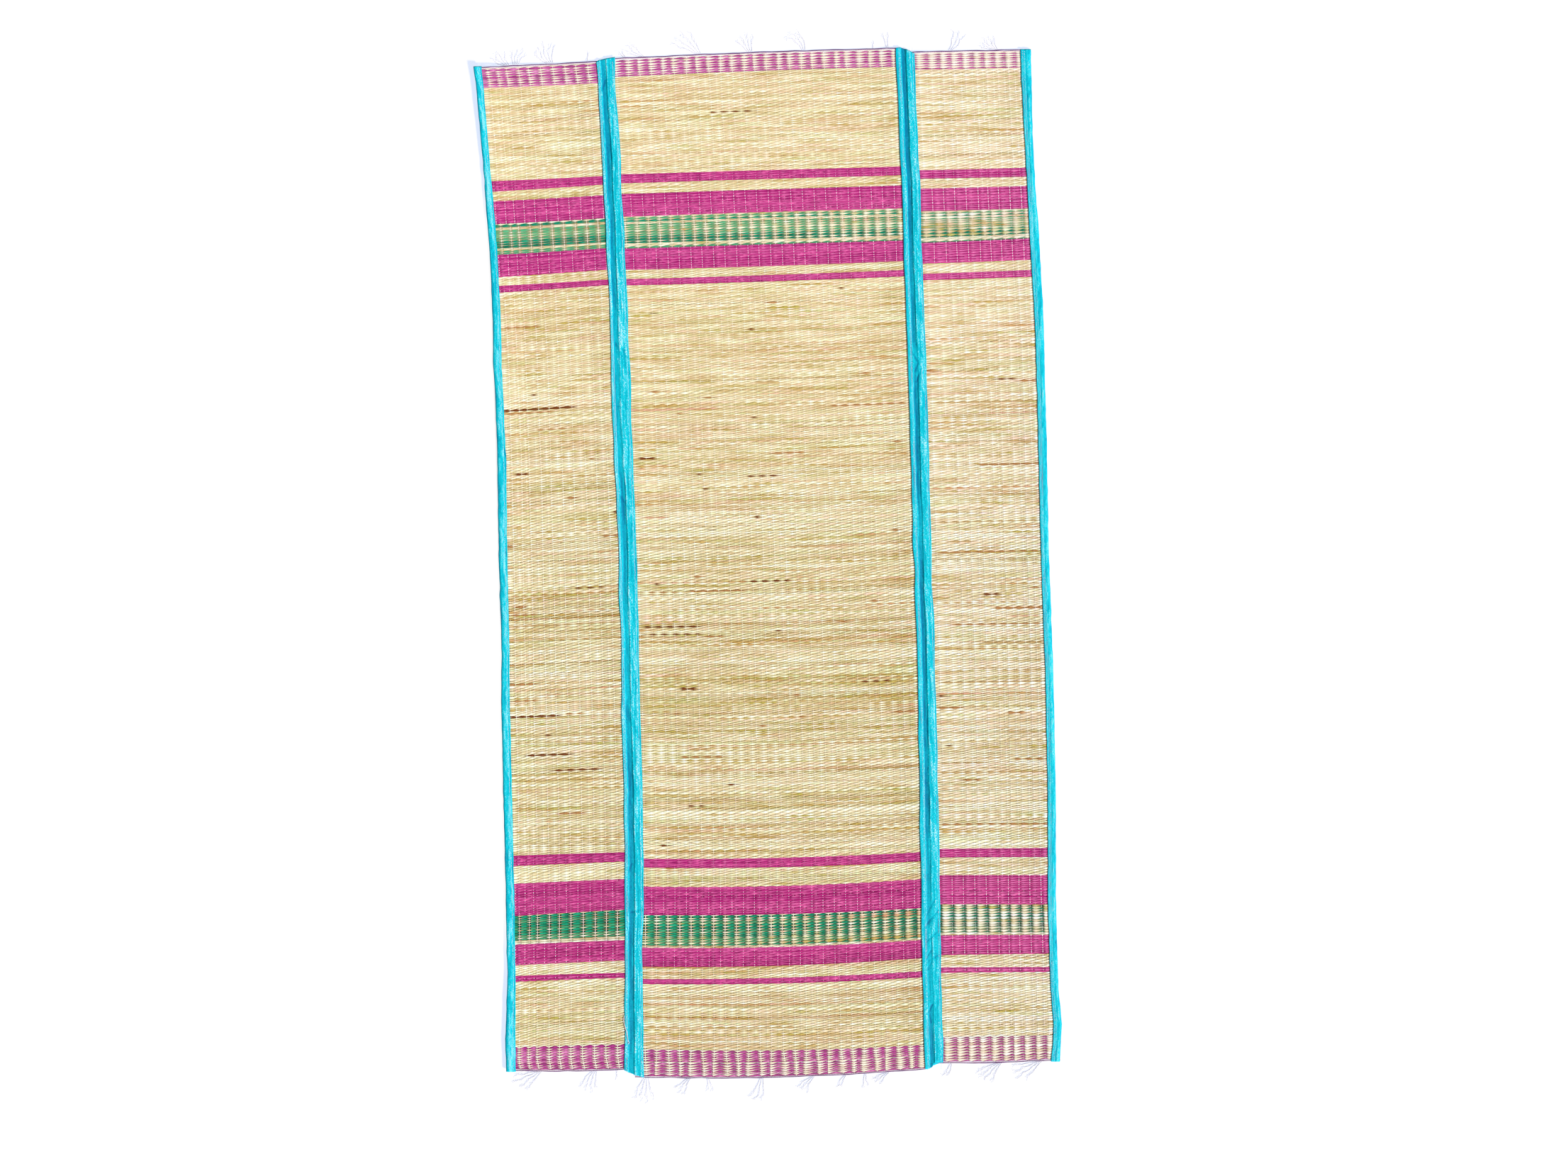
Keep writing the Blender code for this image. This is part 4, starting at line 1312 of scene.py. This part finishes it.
def cloth_face(piece, random, sides):
    """Places across a strip's face, its heights and its tones, row by row."""
    places = cloth_column(piece, "height")[0]
    count = round((places[-1] - places[0]) / CLOTH_COLUMN_STEP)
    across = np.union1d(np.linspace(places[0], places[-1], count), places)
    rough = wrinkles(random, len(sides[0]), across)
    calm = np.minimum(1.0, np.minimum(across - places[0], places[-1] - across) / FACE_MARGIN)
    along = sides[0][:, None]
    height = cloth_height(piece, across, along) + WRINKLE_HEIGHT * rough * calm
    # Painted light and shade that follow the wrinkles: lighter where the cloth stands up, darker where
    # it sinks
    tone = cloth_look(piece, "tone", across, along) * (1.0 + CLOTH[piece]["pucker_shade"] * rough)
    # Painted shade in the creases, darker the deeper they are
    tone = tone - CREASE_PAINTED_SHADE * crease_depth(piece, across, along) / CREASE_FULL
    return across, height, CLOTH[piece]["tone"] * tone


def add_strip(name, piece, across, height, tone, sides, wander, material):
    rings = place_strip(piece, across, height, sides, wander)
    made = add_piece(ring_mesh(name, rings, tone), material, [piece])


def add_worked_strip(name, piece, seed, kind, material):
    """A strip of cloth with a worked upper face, and the rest of its section plain."""
    random = np.random.default_rng(seed)
    sides = cloth_rows(piece)
    rows = len(sides[0])
    wander = [kind["wander"] * slow_noise(random, rows, kind["span"]) for _ in sides]
    across, height, tone = cloth_face(piece, random, sides)
    back, level = np.array(kind["back"]).T * MM
    across = np.concatenate([across, back])
    height = np.concatenate([height, np.tile(level, (rows, 1))], axis=1)
    tone = np.concatenate([tone, np.full((rows, len(back)), kind["back_tone"])], axis=1)
    add_strip(name, piece, across, height, tone, sides, wander, material)


def add_lower_tape(piece, material):
    """The flat lower strip of a hinge tape."""
    sides = [np.append(side[::LOWER_TAPE_STEP], side[-1]) for side in cloth_rows(piece)]
    rows = len(sides[0])
    across = np.array([0.0, TAPE_WIDTH, TAPE_WIDTH, 0.0])
    height = np.tile((CLOTH_THICKNESS, CLOTH_THICKNESS, 0.0, 0.0), (rows, 1))
    tone = np.full(height.shape, LOWER_TAPE_TONE)
    wander = np.zeros((2, rows))
    add_strip(f"tape_{piece}_lower", piece, across, height, tone, sides, wander, material)


def add_stitches(material):
    """Every sewn stitch on the cloth, as a short bar with its two ends drawn into the cloth."""
    random = np.random.default_rng(SEEDS["stitches"])
    bars = []
    for piece, across, slant, length in STITCH_LINES_MM:
        near, *_, far = cloth_rows(piece)[0]
        y = np.arange(near + STITCH_PITCH, far - STITCH_PITCH, STITCH_PITCH)
        y = y + STITCH_STRAY_ALONG * random.standard_normal(len(y))
        lean = slant * MM * (1.0 + STITCH_STRAY_LEAN * random.standard_normal(len(y)))
        place = across * MM + STITCH_STRAY_ACROSS * random.standard_normal(len(y))
        node_y = y[:, None] + STITCH_NODES * length * MM
        offset = place[:, None] + STITCH_NODES * lean[:, None]
        x = strip_x(piece, offset, node_y)
        z = cloth_height(piece, offset, node_y) + lift_at(x, node_y) - STITCH_SINK
        side = (0.5 * STITCH_WIDTH * STITCH_TAPER, 0.0)
        bars.append(bar_points(x, node_y, z, side, STITCH_HEIGHT - STITCH_SINK))
    add_piece(plain_bars("stitches", np.concatenate(bars), STITCH_COLOUR), material)


def add_loose_thread(material):
    """A loose end of sewing thread that lies on the left tape near its near end."""
    x, y, height = np.array(LOOSE_THREAD).T
    path = xyz(*from_picture(x, y), height * MM)[None]
    add_piece(plain_bars("loose_thread", path_points(path, LOOSE_WIDTH)), material)


def add_end_reed(panel, end, materials):
    """The dark last reed of a panel's end, and the thread ends that run along inside it."""
    random = np.random.default_rng(SEEDS["ends"] + 2 * PANELS.index(panel) + (end == "top"))
    left, right = panel_edges(panel, end_line(panel, end, 0.0))
    nodes = round((right - left) / END_REED_STEP)
    x = np.linspace(left, right, nodes)
    outward = 1.0 if end == "top" else -1.0
    edge = end_line(panel, end, x) + END_WANDER * slow_noise(random, nodes, END_WANDER_NODES)
    base = underside(panel, x, edge)
    for look in named_rows(END_COLUMNS, END_ROWS):
        y = edge - outward * look["inset"] * MM + END_STRAY * slow_noise(random, nodes, END_STRAY_NODES)
        z = base + look["rise"] * MM
        uneven = END_UNEVENNESS * slow_noise(random, nodes, END_STRAY_NODES)
        width = look["width"] * MM * (1.0 + uneven)
        points = bar_points(x, y, z, (0.0, -0.5 * width), look["height"] * MM)[None]
        mesh = plain_bars(f"{look['name']}_{end}_{panel}", points, look["colour"])
        add_piece(mesh, materials[look["slot"]], [f"fringe_{end}_{panel}"])


def run_of(steps):
    """Add up the steps between nodes, from nothing at the first node."""
    return np.concatenate([[0.0], np.cumsum(steps[:-1])])


def yarn_paths(panel, end, tuft):
    """Middle lines of a tuft's yarns, as (yarn, node, xyz)."""
    outward = 1.0 if end == "top" else -1.0
    middle = 0.5 * (tuft["strands"] - 1)
    random = np.random.default_rng(SEEDS["tufts"] + round(abs(tuft["x"])))
    paths = []
    for index in range(tuft["strands"]):
        offset = index - middle
        share = 1.0 - OUTER_SHORTER * abs(offset) - SECOND_SHORTER * (index % 2)
        reach = tuft["length"] * MM * share
        along = np.linspace(0.0, reach, STRAND_NODES)
        later = np.maximum(0.0, along - STRAND_DROP) / (reach - STRAND_DROP)
        lean = math.radians(tuft["lean"]) + offset * STRAND_SPREAD
        heading = lean + math.radians(tuft["bend"]) * later
        step = reach / (STRAND_NODES - 1)
        root_x = tuft["x"] * MM + offset * STRAND_PITCH
        root_y = end_line(panel, end, root_x)
        root_z = underside(panel, root_x, root_y) + STRAND_ROOT_HEIGHT
        x = root_x + run_of(np.sin(heading) * step)
        out = run_of(np.cos(heading) * step)
        z = root_z * (1.0 - smooth_step((along - STRAND_STUB) / STRAND_DROP))
        for yarn in range(YARNS):
            turn = math.tau * (along / YARN_TURN + yarn / YARNS + STRAND_PHASE * index)
            loose = YARN_SPREAD * (1.0 + YARN_OPENING * (along / reach) ** 3)
            curl = YARN_CURL * random.uniform(*CURL_SIZES) * later
            phase = math.tau * (along / random.uniform(*CURL_LENGTHS) + random.random())
            aside = loose * np.cos(turn) + curl * np.cos(phase)
            ahead = curl * np.sin(phase)
            paths.append(xyz(
                x + aside * np.cos(heading) + ahead * np.sin(heading),
                root_y + outward * (out - aside * np.sin(heading) + ahead * np.cos(heading)),
                z + YARN_RISE * (1.0 + np.sin(turn)),
            ))
    return np.array(paths)


def add_tufts(panel, end, material):
    """The loose tufts of twisted thread at one end of a panel."""
    tufts = named_rows(TUFT_COLUMNS, TUFTS[panel, end])
    paths = np.concatenate([yarn_paths(panel, end, tuft) for tuft in tufts])
    points = path_points(paths, YARN_WIDTH, np.linspace(1.0, YARN_TIP, STRAND_NODES))
    mesh = plain_bars(f"tufts_{end}_{panel}", points, TUFT_COLOUR)
    add_piece(mesh, material, [f"fringe_{end}_{panel}"])


def feed(tree, socket, value):
    """Give a socket its value, or link it to the output of another node."""
    if isinstance(value, bpy.types.NodeSocket):
        tree.links.new(value, socket)
    else:
        socket.default_value = value


def add_node(tree, kind, settings=None, **values):
    """Add a shader node, with its settings and what its sockets are fed, by name."""
    node = tree.nodes.new(kind)
    for name, value in (settings or {}).items():
        setattr(node, name, value)
    for name, value in values.items():
        feed(tree, node.inputs[name.replace("_", " ")], value)
    return node


def combine(tree, kind, operation, *values):
    """Work out a number or a colour from values or outputs of other nodes."""
    node = add_node(tree, kind, {"operation": operation})
    for socket, value in zip(node.inputs, values):
        feed(tree, socket, value)
    return node.outputs[0]


def map_range(tree, value, given, wanted=(0.0, 1.0), smooth=False):
    """Map one range of values to another, in a straight line or with level ends."""
    settings = {"interpolation_type": "SMOOTHSTEP" if smooth else "LINEAR"}
    ranges = {"From_Min": given[0], "From_Max": given[1], "To_Min": wanted[0], "To_Max": wanted[1]}
    node = add_node(tree, "ShaderNodeMapRange", settings, Value=value, **ranges)
    return node.outputs["Result"]


def mix_colours(tree, share, first, second):
    """Mix two colours, by the share of the second."""
    node = add_node(tree, "ShaderNodeMix", {"data_type": "RGBA"}, Factor=share)
    for number, colour in zip(MIX_INPUTS, (first, second)):
        feed(tree, node.inputs[number], colour)
    return node.outputs[MIX_OUTPUT]


def colour_ramp(tree, value, *stops):
    """A ramp between two stops, each given as its place and colour."""
    ramp = add_node(tree, "ShaderNodeValToRGB", Fac=value)
    for element, (place, colour) in zip(ramp.color_ramp.elements, stops):
        element.position = place
        element.color = colour
    return ramp.outputs["Color"]


def grain(tree, scales, detail, roughness=0.5):
    """Fine noise in an object's own space, at these scales along its axes."""
    place = add_node(tree, "ShaderNodeTexCoord").outputs["Object"]
    scaled = add_node(tree, "ShaderNodeMapping", Vector=place, Scale=scales).outputs["Vector"]
    looks = {"Scale": 1.0, "Detail": detail, "Roughness": roughness}
    return add_node(tree, "ShaderNodeTexNoise", Vector=scaled, **looks).outputs["Fac"]


def new_material(name, **values):
    """A material with a principled shader, as (material, node tree, shader)."""
    material = bpy.data.materials.new(name)
    material.use_nodes = True
    tree = material.node_tree
    shader = tree.nodes["Principled BSDF"]
    for socket, value in values.items():
        feed(tree, shader.inputs[socket.replace("_", " ")], value)
    return material, tree, shader


def add_bumps(tree, shader, height, strength, distance):
    """Give a shader the bumps of its fine grain."""
    bump = add_node(tree, "ShaderNodeBump", Height=height, Strength=strength, Distance=distance)
    feed(tree, shader.inputs["Normal"], bump.outputs["Normal"])


def reed_material():
    """Split and dried reeds: fine fibres along them and painted shade in the creases between them."""
    material, tree, shader = new_material("reed", Roughness=0.55, Specular_IOR_Level=0.08)
    tint = add_node(tree, "ShaderNodeAttribute", {"attribute_name": "tint"})
    fibres = grain(tree, (60.0, 3000.0, 1.0), detail=3.0)
    # Painted shade in the creases between reeds, where the tint's alpha is low
    clear = map_range(tree, tint.outputs["Alpha"], (0.0, 0.85), smooth=True)
    crease = mix_colours(tree, clear, CREASE_SHADE_COLOUR, (1.0, 1.0, 1.0, 1.0))
    tinted = combine(tree, "ShaderNodeVectorMath", "MULTIPLY", tint.outputs["Color"], crease)
    tone = map_range(tree, fibres, (0.0, 1.0), (0.86, 1.10))
    scale = {"operation": "SCALE"}
    colour = add_node(tree, "ShaderNodeVectorMath", scale, Vector=tinted, Scale=tone)
    feed(tree, shader.inputs["Base Color"], colour.outputs["Vector"])
    add_bumps(tree, shader, fibres, strength=0.3, distance=0.3 * MM)
    return material


def thread_material():
    """Pale cotton thread with a fine twist."""
    material, tree, shader = new_material("thread", Roughness=0.85)
    twist = grain(tree, (1400.0, 1400.0, 1400.0), detail=2.0)
    ramp = colour_ramp(tree, twist, (0.3, THREAD_DARK), (0.7, THREAD_PALE))
    tint = add_node(tree, "ShaderNodeAttribute", {"attribute_name": "tint"})
    colour = combine(tree, "ShaderNodeVectorMath", "MULTIPLY", ramp, tint.outputs["Color"])
    feed(tree, shader.inputs["Base Color"], colour)
    return material


def cloth_material(name, streaks, highlight_strength):
    """Shiny tape cloth: its colour from the strip's tone, with fine streaks and a painted highlight
    where it is lightest.
    """
    material, tree, shader = new_material(name, Roughness=0.62, Specular_IOR_Level=0.12)
    weave = grain(tree, streaks, detail=3.0, roughness=0.6)
    speckle = map_range(tree, weave, (0.3, 0.7), (0.66, 1.26))
    tone = add_node(tree, "ShaderNodeAttribute", {"attribute_name": "tone"})
    level = combine(tree, "ShaderNodeMath", "MULTIPLY", tone.outputs["Fac"], speckle)
    ramp = colour_ramp(tree, level, (0.40, CLOTH_DEEP), (1.0, CLOTH_LIGHT))
    # Painted highlight where the cloth's tone and grain are lightest
    highlight_share = map_range(tree, level, (1.02, 1.30), (0.0, highlight_strength), smooth=True)
    colour = mix_colours(tree, highlight_share, ramp, CLOTH_HIGHLIGHT)
    feed(tree, shader.inputs["Base Color"], colour)
    add_bumps(tree, shader, weave, strength=0.35, distance=0.4 * MM)
    return material


def floor_material():
    """White paper that glows a little round the mat, so that the mat's shadow on it stays pale.

    The shadow is faint along the middle of the mat, and lilac near the raised ends."""
    material, tree, shader = new_material("floor", Roughness=0.9)
    place = add_node(tree, "ShaderNodeTexCoord").outputs["Object"]
    parts = add_node(tree, "ShaderNodeSeparateXYZ", Vector=place)
    away = [combine(tree, "ShaderNodeMath", "ABSOLUTE", parts.outputs[axis]) for axis in "XY"]
    glows = [
        map_range(tree, distance, (start, start + GLOW_FADE))
        for distance, start in zip(away, GLOW_START)
    ]
    outside = combine(tree, "ShaderNodeMath", "MAXIMUM", *glows)
    ends = map_range(tree, away[1], FLOOR_END_FADE, smooth=True)
    for socket, colours in FLOOR_COLOURS.items():
        feed(tree, shader.inputs[socket], mix_colours(tree, ends, *colours))
    feed(tree, shader.inputs["Emission Strength"], outside)
    return material


def add_floor():
    """A plain white floor under the mat."""
    mesh = bpy.data.meshes.new("floor")
    square = ((-1.0, -1.0), (1.0, -1.0), (1.0, 1.0), (-1.0, 1.0))
    corners = [(x * reach, y * reach, FLOOR_HEIGHT) for reach in FLOOR_REACHES for x, y in square]
    outer = [(4 + first, 4 + (first + 1) % 4, (first + 1) % 4, first) for first in range(4)]
    mesh.from_pydata(corners, [], [(0, 1, 2, 3)] + outer)
    floor = add_object("floor", mesh)
    mesh.materials.append(floor_material())


def add_light():
    """Even light from all round, and a soft sun from the right and the near end."""
    world = bpy.data.worlds.new("studio")
    world.use_nodes = True
    back = world.node_tree.nodes["Background"]
    back.inputs["Color"].default_value = (1.0, 1.0, 1.0, 1.0)
    back.inputs["Strength"].default_value = SKY_STRENGTH
    bpy.context.scene.world = world
    lamp = bpy.data.lights.new("sun", "SUN")
    lamp.energy = SUN_STRENGTH
    lamp.angle = SUN_SIZE
    add_object("sun", lamp).rotation_euler = SUN_TURN


def add_camera():
    """Camera straight above the mat, at the picture's turn and framing."""
    lens = bpy.data.cameras.new("camera")
    lens.sensor_width = SENSOR_WIDTH
    lens.lens = SENSOR_WIDTH * CAMERA_HEIGHT / VIEW_WIDTH
    camera = add_object("camera", lens)
    camera.location = (VIEW_CENTRE[0], VIEW_CENTRE[1], CAMERA_HEIGHT)
    camera.rotation_euler = (0.0, 0.0, VIEW_TURN)
    bpy.context.scene.camera = camera
    bpy.context.scene.view_settings.view_transform = "Standard"


def main():
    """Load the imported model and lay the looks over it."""
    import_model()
    add_camera()
    add_light()
    add_floor()
    reed = reed_material()
    thread = thread_material()
    tape = cloth_material("tape_cloth", *TAPE_GRAIN)
    fold = cloth_material("fold_cloth", *FOLD_GRAIN)
    for panel in PANELS:
        add_reeds(panel, reed)
        add_threads(panel, thread)
        for end in ("top", "bottom"):
            add_end_reed(panel, end, {"straw": reed, "thread": thread})
            add_tufts(panel, end, thread)
    for number, side in enumerate(("left", "right")):
        hinge, binding = f"hinge_{side}", f"binding_{side}"
        add_worked_strip(f"tape_{hinge}_upper", hinge, SEEDS["tapes"] + number, TAPE, tape)
        add_lower_tape(hinge, tape)
        add_worked_strip(f"fold_{binding}", binding, SEEDS["bindings"] + number, BINDING, fold)
    add_stitches(thread)
    add_loose_thread(thread)
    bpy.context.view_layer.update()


main()
